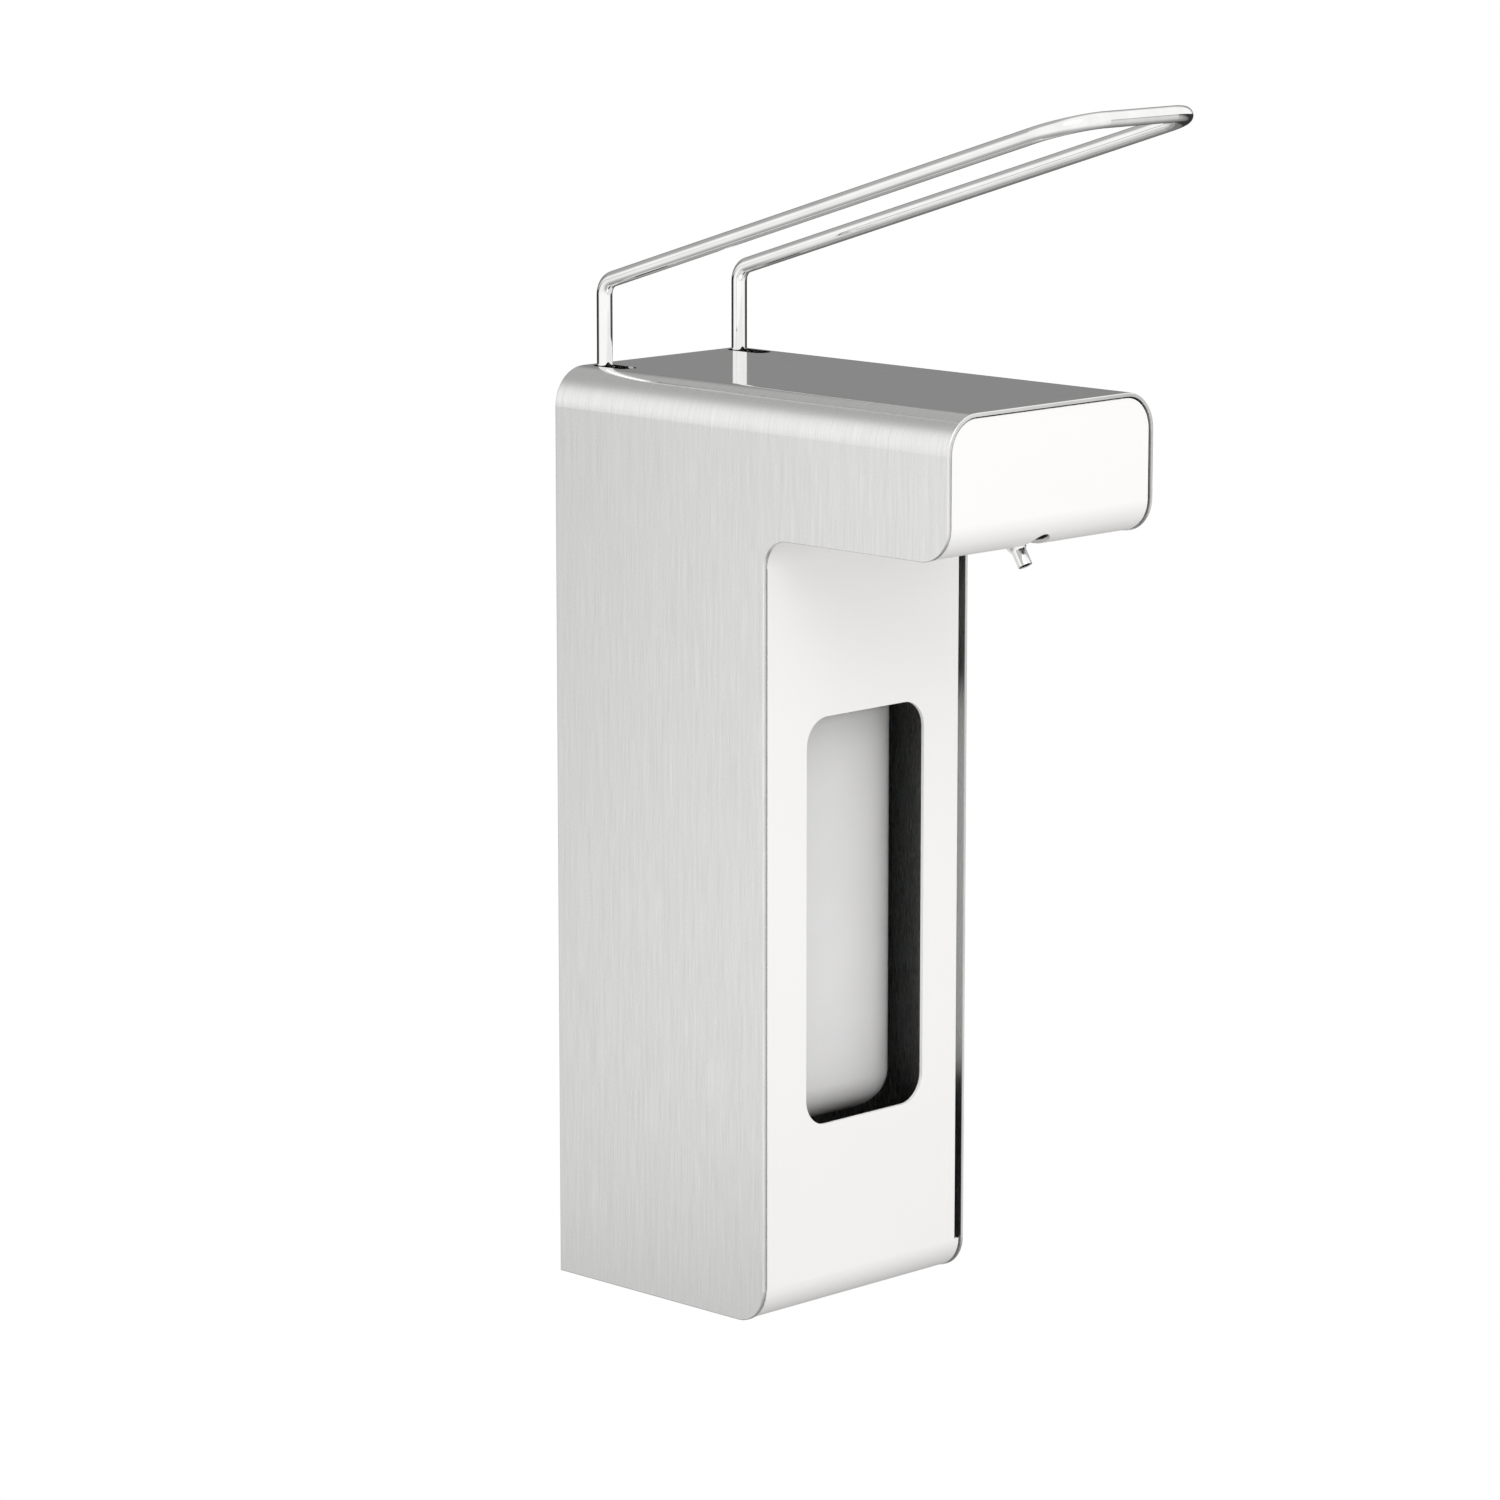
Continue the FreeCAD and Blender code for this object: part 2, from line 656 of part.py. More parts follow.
def make_front_insert():
    """White coated strip: head front, underside of the head, front panel and bottom."""
    body = new_body("front_insert")
    top = inner_top - insert_top_gap
    face = insert_recess
    back = insert_back
    rear = plate_front - insert_top_gap
    profile = sketch_on(body, "YZ_Plane")
    outline(profile, [
        (-head_depth + face, top), (-head_depth + face, head_bottom + face),
        (-body_depth + face, head_bottom + face), (-body_depth + face, face), (rear, face),
        (rear, back), (-body_depth + back, back), (-body_depth + back, head_bottom + back),
        (-head_depth + back, head_bottom + back), (-head_depth + back, top)])
    pad(body, profile, insert_half_width * 2, symmetric=True)
    # the fillets that fill come before the ones that cut, so that the wall is never broken through
    dress(body, "Fillet", corner_radius - back,
          on_line(y=-head_depth + back, z=head_bottom + back), on_line(y=-body_depth + back, z=back))
    dress(body, "Fillet", inner_corner_radius + face, on_line(y=-body_depth + face, z=head_bottom + face))
    dress(body, "Fillet", corner_radius - face,
          on_line(y=-head_depth + face, z=head_bottom + face), on_line(y=-body_depth + face, z=face))
    dress(body, "Fillet", inner_corner_radius + back, on_line(y=-body_depth + back, z=head_bottom + back))
    dress(body, "Fillet", bend_radius - cover_gauge - insert_top_gap,
          on_line(x=insert_half_width, z=top), on_line(x=-insert_half_width, z=top))

    # the flat panel is trimmed between its two bends, more on the right than on the left
    trims = sketch_on(body, "XZ_Plane")
    trim_top = head_bottom - inner_corner_radius
    rectangle(trims, insert_half_width - panel_relief_right, half_width, corner_radius, trim_top)
    rectangle(trims, -half_width, -insert_half_width + panel_relief_left, corner_radius, trim_top)
    pocket_through(body, trims, reverse=True)

    window = sketch_on(body, "XZ_Plane")
    half_window = window_width / 2
    window_top = window_bottom + window_height
    rounded_rectangle(window, -half_window, half_window, window_bottom, window_top, window_radius)
    pocket_through(body, window, reverse=True)

    # the spout comes out through a slot that runs up into the front bend of the head
    slot = sketch_on(body, "XY_Plane")
    half_slot = spout_slot_width / 2
    slot_front = spout_tip_y - spout_slot_front
    slot_back = spout_tip_y + spout_slot_back
    rounded_rectangle(slot, -half_slot, half_slot, slot_front, slot_back, half_slot - edge_break)
    pocket_through(body, slot, reverse=True)

    holes = sketch_on(body, "XY_Plane")
    for x, y in insert_screw_places:
        circle(holes, x, y, screw_radius + screw_clearance)
    pocket(body, holes, back, reverse=True)
    dress(body, "Chamfer", insert_gauge - screw_clearance * 2,
          *[hole_rim(x, y, screw_radius + screw_clearance, face) for x, y in insert_screw_places])
    place(body)
    return body


def hole_rim(x, y, radius, z):
    """A test for the round edge of a vertical hole at one height."""
    x, y, radius, z = (as_size(size).value for size in (x, y, radius, z))

    def test(edge):
        if not isinstance(edge.Curve, Part.Circle):
            return False
        centre = edge.Curve.Center
        near = abs(centre.x - x) < 0.01 and abs(centre.y - y) < 0.01 and abs(centre.z - z) < 0.01
        return near and abs(edge.Curve.Radius - radius) < 0.01

    return test


def make_back_plate():
    """Steel plate that is screwed to the wall and carries everything else."""
    body = new_body("back_plate")
    top = inner_top - plate_gap
    face = sketch_on(body, "XZ_Plane")
    rectangle(face, -plate_half_width, plate_half_width, plate_gap, top)
    pad(body, face, plate_gauge)
    dress(body, "Fillet", bend_radius - cover_gauge - plate_gap,
          on_line(x=plate_half_width, z=top), on_line(x=-plate_half_width, z=top))
    fixings = []
    for x in (-fixing_spacing_x / 2, fixing_spacing_x / 2):
        fixings += [(x, fixing_above_bottom), (x, fixing_top)]
    screw_holes(body, fixings, fixing_hole_radius)
    threads = bracket_screw_places + shelf_screw_places + tray_screw_places
    screw_holes(body, threads, screw_radius + screw_clearance)
    place(body)
    return body


def make_drip_tray():
    """Moulded tray on the bottom of the insert, screwed to the back plate."""
    body = new_body("drip_tray")
    half = inner_half_width - tray_side_gap
    front = -body_depth + corner_radius + tray_front_gap
    top = tray_bottom + tray_height
    base = sketch_on(body, "XY_Plane", tray_bottom)
    rectangle(base, -half, half, front, plate_front)
    pad(body, base, tray_height)
    dress(body, "Fillet", tray_corner_radius, on_line(x=half, y=front), on_line(x=-half, y=front))
    well = sketch_on(body, "XY_Plane", top)
    rectangle(well, -half + tray_wall, half - tray_wall, front + tray_wall, plate_front - tray_wall)
    pocket(body, well, tray_height - tray_wall)
    dress(body, "Fillet", tray_corner_radius - tray_wall,
          on_line(x=half - tray_wall, y=front + tray_wall), on_line(x=-half + tray_wall, y=front + tray_wall))
    back_holes = sketch_on(body, "XZ_Plane")
    for x, z in tray_screw_places:
        circle(back_holes, x, z, screw_radius + screw_clearance)
    pocket(body, back_holes, plate_gauge + tray_wall * 2, reverse=True)
    threads = sketch_on(body, "XY_Plane")
    for x, y in insert_screw_places:
        circle(threads, x, y, screw_radius + screw_clearance)
    pocket(body, threads, tray_floor + tray_wall, reverse=True)
    place(body)
    return body


def make_insert_screws():
    """Countersunk screws through the bottom of the insert into the tray."""
    screws = []
    head_height = insert_gauge - screw_clearance * 2
    for x, y in insert_screw_places:
        shank = primitive("Cylinder", "screw_shank",
                          {"Radius": screw_radius, "Height": tray_floor - insert_recess}, x, y, insert_recess)
        head = primitive("Cone", "screw_head",
                         {"Radius1": screw_radius + head_height, "Radius2": screw_radius,
                          "Height": head_height}, x, y, insert_recess)
        socket = primitive("Prism", "screw_socket", {"Circumradius": socket_radius, "Height": socket_depth},
                           x, y, insert_recess)
        socket.Polygon = 6
        screws.append(join("screw", "Cut", join("screw_blank", "Fuse", head, shank), socket))
    return group("insert_screws", screws)


def make_clips(label, boxes):
    """Moulded clips, each a block of given corner and size."""
    clips = []
    for x, y, z, dx, dy, dz in boxes:
        clips.append(primitive("Box", "clip", {"Length": dx, "Width": dy, "Height": dz}, x, y, z))
    return group(label, clips)


def make_cover_clips():
    """Four clips between the back plate and the sides of the cover."""
    boxes = []
    for x in (-inner_half_width, inner_half_width - clip_width):
        for z in (clip_above_bottom, head_bottom - clip_below_head):
            boxes.append((x, plate_front - clip_depth, z, clip_width, clip_depth, clip_height))
    return make_clips("cover_clips", boxes)


def make_insert_clips():
    """Two clips that hold the head front of the insert to the sides of the cover."""
    length = clip_width + insert_side_gap + insert_clip_overlap
    low = head_bottom + insert_clip_rise
    boxes = []
    for x in (-inner_half_width, inner_half_width - length):
        boxes.append((x, -head_depth + insert_back, low, length, clip_depth, clip_depth))
    return make_clips("insert_clips", boxes)


# ---------------------------------------------------------------- bottle and pump

def bottle_form(label, inset, neck_end):
    """A rounded rectangular bottle with a round shoulder and neck, drawn about its own axis."""
    body = new_body(label)
    half_x = bottle_half_width - inset
    half_y = bottle_half_length - inset
    low = bottle_bottom + inset
    high = bottle_top - inset
    base = sketch_on(body, "XY_Plane", low)
    rectangle(base, -half_x, half_x, -half_y, half_y)
    pad(body, base, high - low)
    corners = [on_line(x=x, y=y) for x in (-half_x, half_x) for y in (-half_y, half_y)]
    dress(body, "Fillet", bottle_corner_radius - inset, *corners)
    dress(body, "Fillet", bottle_base_radius - inset, on_line(z=low))
    dress(body, "Fillet", bottle_shoulder_radius - inset, on_line(z=high))
    inner_neck = neck_radius - inset
    revolve(body, [(0, low + bottle_base_radius), (shoulder_radius - inset, high - bottle_shoulder_radius),
                   (shoulder_radius - inset, high), (inner_neck, high + shoulder_rise),
                   (inner_neck, neck_end), (0, neck_end)])
    return body


def make_bottle():
    """Natural polyethylene bottle, a closed wall that is open at its neck."""
    outside = bottle_form("bottle_outside", as_size(0), neck_top)
    inside = bottle_form("bottle_inside", bottle_wall, neck_top + bottle_wall)
    bottle = join("bottle", "Cut", outside, inside)
    place(bottle, y=pump_y)
    return bottle


def make_closure_ring():
    """Union ring that clamps the pump to the neck."""
    inner = neck_radius + ring_thread_gap
    outer = neck_radius + ring_wall
    low = neck_top - ring_skirt
    lip = housing_radius + ring_thread_gap
    return turned("closure_ring", [(inner, low), (outer, low), (outer, ring_top), (lip, ring_top),
                                   (lip, flange_top), (inner, flange_top)], pump_y)


def make_pump_body():
    """Barrel, flange, housing and outlet boss in one moulding."""
    body = new_body("pump_body")
    flange = neck_radius - flange_inset
    barrel = barrel_bore + barrel_wall
    foot = dip_radius + push_fit + foot_wall
    foot_bottom = barrel_bottom - foot_length
    groove = housing_radius - groove_depth
    revolve(body, [
        (0, housing_top), (housing_radius, housing_top), (housing_radius, shelf_top + groove_play),
        (groove, shelf_top + groove_play), (groove, shelf_bottom - groove_play),
        (housing_radius, shelf_bottom - groove_play), (housing_radius, flange_top), (flange, flange_top),
        (flange, flange_bottom), (barrel, flange_bottom), (barrel, barrel_bottom), (foot, barrel_bottom),
        (foot, foot_bottom), (0, foot_bottom)])
    boss = sketch_on(body, "XZ_Plane")
    circle(boss, 0, outlet_height, boss_radius)
    pad(body, boss, boss_reach)
    doc.recompute()
    socket = dip_radius + push_fit
    socket_top = barrel_bottom - foot_wall
    revolve(body, [(0, housing_top), (barrel_bore, housing_top), (barrel_bore, barrel_floor_top),
                   (valve_hole, barrel_floor_top), (valve_hole, socket_top), (socket, socket_top),
                   (socket, foot_bottom), (0, foot_bottom)], "Groove")
    outlet = sketch_on(body, "XZ_Plane", boss_reach)
    circle(outlet, 0, outlet_height, tube_radius + push_fit)
    pocket(body, outlet, tube_insertion)
    passage = sketch_on(body, "XZ_Plane", boss_reach)
    circle(passage, 0, outlet_height, valve_hole)
    pocket(body, passage, boss_reach - barrel_bore / 2)
    place(body, y=pump_y)
    return body


def make_pump_lid():
    """Guide for the rod, with a spigot in the bore and a pocket for the rod's seal."""
    guide = rod_radius + running_fit
    spigot = barrel_bore - push_fit
    seal_pocket = rod_radius + running_fit + seal_wire * 2 + push_fit
    low = housing_top - lid_spigot
    pocket_top = low + seal_wire * 2 + push_fit
    return turned("pump_lid", [
        (guide, lid_top), (housing_radius - push_fit, lid_top), (housing_radius - push_fit, housing_top),
        (spigot, housing_top), (spigot, low), (seal_pocket, low), (seal_pocket, pocket_top),
        (guide, pocket_top)], pump_y)


def make_rod_seal():
    seal = primitive("Torus", "rod_seal",
                     {"Radius1": rod_radius + running_fit + seal_wire, "Radius2": seal_wire})
    seal.Label = "rod_seal"
    place(seal, y=pump_y, z=housing_top - lid_spigot + seal_wire)
    return seal


def make_piston_rod():
    """Hollow rod: soap rises through its bore, past the ball and out of the cross hole."""
    low = piston_bottom - rod_tail
    chamber_top = outlet_seat + rod_chamber_height
    top = cap_top - cap_skin
    body = new_body("piston_rod")
    revolve(body, [(rod_bore, low), (rod_radius, low), (rod_radius, top), (0, top), (0, chamber_top),
                   (rod_chamber, chamber_top), (rod_chamber, outlet_seat), (rod_bore, outlet_seat)])
    cross = sketch_on(body, "YZ_Plane")
    circle(cross, 0, chamber_top - rod_bore, rod_bore / 2)
    pocket_through(body, cross, both=True)
    place(body, y=pump_y)
    return body


def make_piston():
    """Moulded piston with a groove between its two lips."""
    inner = rod_radius + push_fit
    outer = barrel_bore - running_fit
    third = piston_height / 3
    return turned("piston", [
        (inner, piston_bottom), (outer, piston_bottom), (outer, piston_bottom + third),
        (outer - piston_groove, piston_bottom + third), (outer - piston_groove, piston_top - third),
        (outer, piston_top - third), (outer, piston_top), (inner, piston_top)], pump_y)


def make_plunger_cap():
    """Push cap on the rod, which the rocker's nose presses."""
    inner = rod_radius + push_fit
    recess_top = cap_top - cap_skin + push_fit
    return turned("plunger_cap", [
        (inner, cap_bottom), (cap_radius, cap_bottom), (cap_radius, cap_top), (0, cap_top),
        (0, recess_top), (inner, recess_top)], pump_y)


def make_ball(label, radius, hole, seat):
    """A valve ball that rests on the rim of a round hole."""
    rise = math.sqrt(radius.value ** 2 - hole.value ** 2)
    ball = primitive("Sphere", label, {"Radius": radius})
    ball.Label = label
    place(ball, y=pump_y, z=seat + rise)
    return ball


def make_return_spring():
    """Compression spring between the barrel's floor and the piston."""
    wire = spring_wire.value
    gap = push_fit.value
    low = barrel_floor_top.value + wire + gap
    height = piston_bottom.value - wire - gap - low
    helix = Part.makeHelix(height / spring_turns.value, height, spring_radius.value)
    start = Vector(spring_radius.value, 0, 0)
    section = Part.Wire(Part.makeCircle(wire, start, Vector(0, 1, 0)))
    coil = Part.Wire(helix).makePipeShell([section], True, True)
    return placed_shape("return_spring", coil, y=pump_y, z=low)


def make_outlet_tube():
    """Bent tube from the pump's boss to the spout."""
    start = Vector(0, (pump_y - boss_reach + tube_insertion).value, outlet_height.value)
    tip = Vector(0, spout_tip_y.value, spout_tip_z.value)
    tilt = math.radians(spout_tilt.value)
    upwards = Vector(0, math.sin(tilt), math.cos(tilt))
    corner = tip + upwards * ((start.z - tip.z) / upwards.z)
    end = tip + upwards * (nozzle_tip_length + nozzle_cone_length).value
    points = [start, corner, end]
    radii = [tube_bend.value]
    outside = bent_bar(points, radii, tube_radius.value)
    inside = bent_bar(points, radii, (tube_radius - tube_wall).value)
    return placed_shape("outlet_tube", outside.cut(inside))


def make_outlet_seal():
    seal = primitive("Torus", "outlet_seal",
                     {"Radius1": tube_radius + push_fit + seal_wire, "Radius2": seal_wire}, turn=TO_WALL)
    seal.Label = "outlet_seal"
    place(seal, y=pump_y - boss_reach - seal_wire, z=outlet_height)
    return seal


def make_outlet_nozzle():
    """Turned and polished spout on the end of the tube, with a conical collar."""
    body = new_body("outlet_nozzle")
    cone_top = nozzle_tip_length + nozzle_cone_length
    top = cone_top + nozzle_socket
    socket = tube_radius + push_fit
    revolve(body, [
        (nozzle_bore, 0), (nozzle_tip_radius, 0), (nozzle_tip_radius, nozzle_tip_length),
        (nozzle_collar_radius, cone_top), (nozzle_collar_radius, top), (socket, top), (socket, cone_top),
        (nozzle_bore, cone_top)])
    body.Placement = Placement(Vector(0, 0, 0), Rotation(Vector(1, 0, 0), -spout_tilt.value))
    place(body, y=spout_tip_y, z=spout_tip_z)
    return body


# ---------------------------------------------------------------- lever and brackets

def make_lever_wire():
    """One polished wire: stub axle, leg, long arm, front bow and back again."""
    x = half_spacing.value
    y = pivot_y.value
    rise = math.tan(math.radians(lever_incline.value)) * (lever_reach - leg_setback).value
    inner_end = (hub_half - axle_engagement).value
    side = [Vector(inner_end, y, pivot_height.value), Vector(x, y, pivot_height.value),
            Vector(x, y, leg_top.value), Vector(x, -lever_reach.value, leg_top.value + rise)]
    other = [Vector(-point.x, point.y, point.z) for point in reversed(side)]
    radii = [axle_bend.value, leg_bend.value, lever_front_radius.value]
    return placed_shape("lever_wire", bent_bar(side + other, radii + radii[::-1], wire_radius.value))


def make_rocker():
    """Block on the lever's stub axles, with an arm whose nose presses the plunger cap."""
    body = new_body("rocker")
    hub = sketch_on(body, "YZ_Plane")
    circle(hub, pivot_y, pivot_height, hub_radius)
    pad(body, hub, hub_half * 2, symmetric=True)
    arm = sketch_on(body, "YZ_Plane")
    outline(arm, [(pivot_y, pivot_height + arm_underside), (pump_y, nose_height + arm_underside),
                  (pump_y, nose_height + nose_radius), (pivot_y, pivot_height + hub_radius)])
    pad(body, arm, arm_width, symmetric=True)
    nose = sketch_on(body, "YZ_Plane")
    circle(nose, pump_y, nose_height, nose_radius)
    pad(body, nose, arm_width, symmetric=True)
    bore = sketch_on(body, "YZ_Plane")
    circle(bore, pivot_y, pivot_height, wire_radius + push_fit)
    pocket_through(body, bore, both=True)
    grubs = sketch_on(body, "XY_Plane", pivot_height)
    for x in (-grub_x, grub_x):
        circle(grubs, x, pivot_y, screw_radius + screw_clearance)
    pocket(body, grubs, hub_radius * 2, reverse=True)
    place(body)
    return body


def make_set_screws():
    """Grub screws that lock the rocker to the lever's two stub axles."""
    screws = []
    length = hub_radius - wire_radius + socket_depth
    low = pivot_height + wire_radius
    for x in (-grub_x, grub_x):
        blank = primitive("Cylinder", "grub", {"Radius": screw_radius, "Height": length}, x, pivot_y, low)
        socket = primitive("Prism", "grub_socket",
                           {"Circumradius": grub_socket_radius, "Height": socket_depth},
                           x, pivot_y, low + length - socket_depth)
        socket.Polygon = 6
        screws.append(join("grub_screw", "Cut", blank, socket))
    return group("set_screws", screws)


def make_pivot_bushes():
    """Flanged plastic bushes in the ears, which the stub axles turn in."""
    bushes = []
    bore = wire_radius + running_fit
    flange = bush_radius + bush_flange
    barrel_length = bush_flange_length + ear_gauge + bush_flange_length / 2
    for side in (-1, 1):
        start = ear_inside - bush_flange_length
        turn = ALONG_X if side > 0 else AGAINST_X
        x = start * side
        barrel = primitive("Cylinder", "bush_barrel", {"Radius": bush_radius, "Height": barrel_length},
                           x, pivot_y, pivot_height, turn)
        collar = primitive("Cylinder", "bush_collar", {"Radius": flange, "Height": bush_flange_length},
                           x, pivot_y, pivot_height, turn)
        hole = primitive("Cylinder", "bush_bore", {"Radius": bore, "Height": barrel_length},
                         x, pivot_y, pivot_height, turn)
        bushes.append(join("bush", "Cut", join("bush_blank", "Fuse", barrel, collar), hole))
    return group("pivot_bushes", bushes)


def make_pivot_bracket():
    """Folded bracket with two ears for the lever's pivot."""
    body = new_body("pivot_bracket")
    outer = ear_inside + ear_gauge
    base_front = plate_front - bracket_gauge
    ear_front = -ear_reach
    low = bracket_top - bracket_base
    high = pivot_height + ear_above_pivot
    fold = sketch_on(body, "XY_Plane", low)
    outline(fold, [(-outer, ear_front), (-outer, plate_front), (outer, plate_front), (outer, ear_front),
                   (ear_inside, ear_front), (ear_inside, base_front), (-ear_inside, base_front),
                   (-ear_inside, ear_front)])
    pad(body, fold, high - low)
    opening = sketch_on(body, "XZ_Plane")
    rectangle(opening, -ear_inside, ear_inside, bracket_top, high + cut_overrun)
    pocket_through(body, opening, reverse=True)
    bore = sketch_on(body, "YZ_Plane")
    circle(bore, pivot_y, pivot_height, bush_radius + push_fit)
    pocket_through(body, bore, both=True)
    screw_holes(body, bracket_screw_places, screw_radius + screw_clearance)
    dress(body, "Fillet", ear_gauge,
          on_line(y=ear_front, z=high), on_line(y=ear_front, z=low))
    place(body)
    return body


def make_pump_shelf():
    """Angle bracket whose fork sits in the groove round the pump."""
    body = new_body("pump_shelf")
    low = shelf_top - shelf_drop
    front = pump_y - shelf_reach
    profile = sketch_on(body, "YZ_Plane")
    outline(profile, [(plate_front, low), (plate_front, shelf_top), (front, shelf_top),
                      (front, shelf_bottom), (plate_front - bracket_gauge, shelf_bottom),
                      (plate_front - bracket_gauge, low)])
    pad(body, profile, shelf_width, symmetric=True)
    half_fork = housing_radius - groove_depth + groove_play
    fork = sketch_on(body, "XY_Plane", shelf_top + cut_overrun)
    circle(fork, 0, pump_y, half_fork)
    pocket(body, fork, shelf_gauge + cut_overrun * 2)
    mouth = sketch_on(body, "XY_Plane", shelf_top + cut_overrun)
    rectangle(mouth, -half_fork, half_fork, front - cut_overrun, pump_y)
    pocket(body, mouth, shelf_gauge + cut_overrun * 2)
    screw_holes(body, shelf_screw_places, screw_radius + screw_clearance)
    place(body)
    return body


# ---------------------------------------------------------------- the nodes, one solid or group each

nodes = [
    make_cover(),
    make_front_insert(),
    make_back_plate(),
    make_drip_tray(),
    wall_screws("tray_screws", plate_front - tray_wall, tray_screw_places),
    make_insert_screws(),
    make_cover_clips(),
    make_insert_clips(),
    make_bottle(),
    make_closure_ring(),
    ring("neck_gasket", barrel_bore + barrel_wall + push_fit, neck_radius - flange_inset,
         neck_top, flange_bottom, pump_y),
    make_pump_body(),
    make_pump_lid(),
    make_rod_seal(),
    make_piston_rod(),
    make_piston(),
    make_plunger_cap(),
    make_return_spring(),
    make_ball("inlet_ball", ball_radius, valve_hole, barrel_floor_top),
    make_ball("outlet_ball", outlet_ball_radius, rod_bore, outlet_seat),
    ring("dip_tube", dip_radius - dip_wall, dip_radius, bottle_bottom + bottle_wall + dip_floor_gap,
         barrel_bottom - foot_wall, pump_y),
    make_outlet_tube(),
    make_outlet_seal(),
    make_outlet_nozzle(),
    make_lever_wire(),
    make_rocker(),
    make_set_screws(),
    make_pivot_bushes(),
    make_pivot_bracket(),
    wall_screws("bracket_screws", plate_front - bracket_gauge, bracket_screw_places),
    make_pump_shelf(),
    wall_screws("shelf_screws", plate_front - bracket_gauge, shelf_screw_places),
]
doc.recompute()

# ---------------------------------------------------------------- checks and export

for item in doc.Objects:
    if "Invalid" in item.State or "Error" in item.State:
        raise RuntimeError(f"{item.Label} did not build: {item.State}")
for node in nodes:
    shape = node.Shape
    if shape.isNull() or not shape.isValid() or not shape.Solids:
        raise RuntimeError(f"{node.Label} has no valid solid")

os.makedirs("parts", exist_ok=True)
for node in nodes:
    node.Shape.exportStep(f"parts/{node.Label}.step")
    box = node.Shape.optimalBoundingBox(False)
    print(f"{node.Label}: {len(node.Shape.Solids)} solid, {node.Shape.Volume:.1f} mm3, "
          f"x {box.XMin:.1f} {box.XMax:.1f}, y {box.YMin:.1f} {box.YMax:.1f}, "
          f"z {box.ZMin:.1f} {box.ZMax:.1f}")

nose = math.hypot((pivot_y - pump_y).value, (nose_height - pivot_height).value)
rest_angle = math.asin((nose_height - pivot_height).value / nose)
end_angle = rest_angle - math.radians(lever_travel.value)
stroke = nose * (math.sin(rest_angle) - math.sin(end_angle))
print(f"plunger stroke {stroke:.3f} mm over {lever_travel.value} degrees, "
      f"pivot at y {pivot_y.value:.2f} z {(pivot_height - datum_height).value:.2f}")
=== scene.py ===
# %% [markdown]
# A wall soap dispenser with an arm lever
#
# The dispenser is a folded stainless cover, a white coated strip between its sides, a bent wire
# lever and a pump with its bottle inside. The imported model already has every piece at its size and
# place, so this lesson gives each piece its real finish, rebuilds the pieces whose edges or
# mouldings a plain solid can't show, and lights the whole like a product on a pale floor.

# %% The frame and its box
import json
import math

import bmesh
import bpy
from mathutils import Matrix, Vector


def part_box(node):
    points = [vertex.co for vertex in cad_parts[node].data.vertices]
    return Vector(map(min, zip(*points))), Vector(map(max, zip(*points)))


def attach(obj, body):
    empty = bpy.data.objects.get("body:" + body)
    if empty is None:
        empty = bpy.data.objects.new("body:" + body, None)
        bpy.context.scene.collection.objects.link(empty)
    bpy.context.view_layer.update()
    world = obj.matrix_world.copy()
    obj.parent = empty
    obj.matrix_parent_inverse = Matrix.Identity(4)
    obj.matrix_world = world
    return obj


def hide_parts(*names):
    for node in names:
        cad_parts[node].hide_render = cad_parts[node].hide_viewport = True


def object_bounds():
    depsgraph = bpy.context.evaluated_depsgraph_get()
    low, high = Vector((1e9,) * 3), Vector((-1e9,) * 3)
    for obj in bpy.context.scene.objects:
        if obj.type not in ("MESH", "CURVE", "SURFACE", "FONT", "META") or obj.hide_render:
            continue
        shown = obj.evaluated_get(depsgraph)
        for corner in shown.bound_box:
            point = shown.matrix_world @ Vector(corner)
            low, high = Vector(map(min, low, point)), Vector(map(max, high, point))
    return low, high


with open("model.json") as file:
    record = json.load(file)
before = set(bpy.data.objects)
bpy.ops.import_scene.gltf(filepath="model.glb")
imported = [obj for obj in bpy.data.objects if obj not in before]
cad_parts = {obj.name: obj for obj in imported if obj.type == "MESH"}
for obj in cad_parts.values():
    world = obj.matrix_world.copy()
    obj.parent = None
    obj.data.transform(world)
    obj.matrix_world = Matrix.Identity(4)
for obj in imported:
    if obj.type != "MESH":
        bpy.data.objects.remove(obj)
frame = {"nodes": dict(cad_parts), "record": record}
nodes = frame["nodes"]
cad_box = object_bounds()
low, high = cad_box
print("model box in millimetres:", [round(size * 1000, 1) for size in high - low])

# %% [markdown]
# Blender works in metres and a maker thinks in millimetres. One name for the millimetre keeps the
# sizes below readable. Colours are easier to judge as the sRGB hex values of a paint chart, and
# shaders need them linear, so one function turns them.

# %% Millimetres and colours
MM = 0.001


def linear(hex_colour):
    """The linear colour, with alpha, of an sRGB hex value."""
    channels = [int(hex_colour[i:i + 2], 16) / 255 for i in (1, 3, 5)]
    return [c / 12.92 if c <= 0.04045 else ((c + 0.055) / 1.055) ** 2.4 for c in channels] + [1.0]


print("mid grey is", [round(c, 3) for c in linear("#808080")])

# %% [markdown]
# Every finish below is a small tree of nodes. Writing one takes three things again and again: make
# a node, set its options, and fill its inputs with a value or a link. One function does all three,
# so that each finish reads as a list of what it is made of. A pattern is laid on Object coordinates
# divided by the size of its features, so it stays on the piece and is as large as the real one.
# Noise stays mostly between a quarter and three quarters, and a range is stretched from there.

# %% Making nodes and finishes


def fill(tree, node, inputs):
    """Give each named input of a node a value or a link."""
    for name, value in inputs.items():
        if isinstance(value, bpy.types.NodeSocket):
            tree.links.new(value, node.inputs[name])
        else:
            node.inputs[name].default_value = value


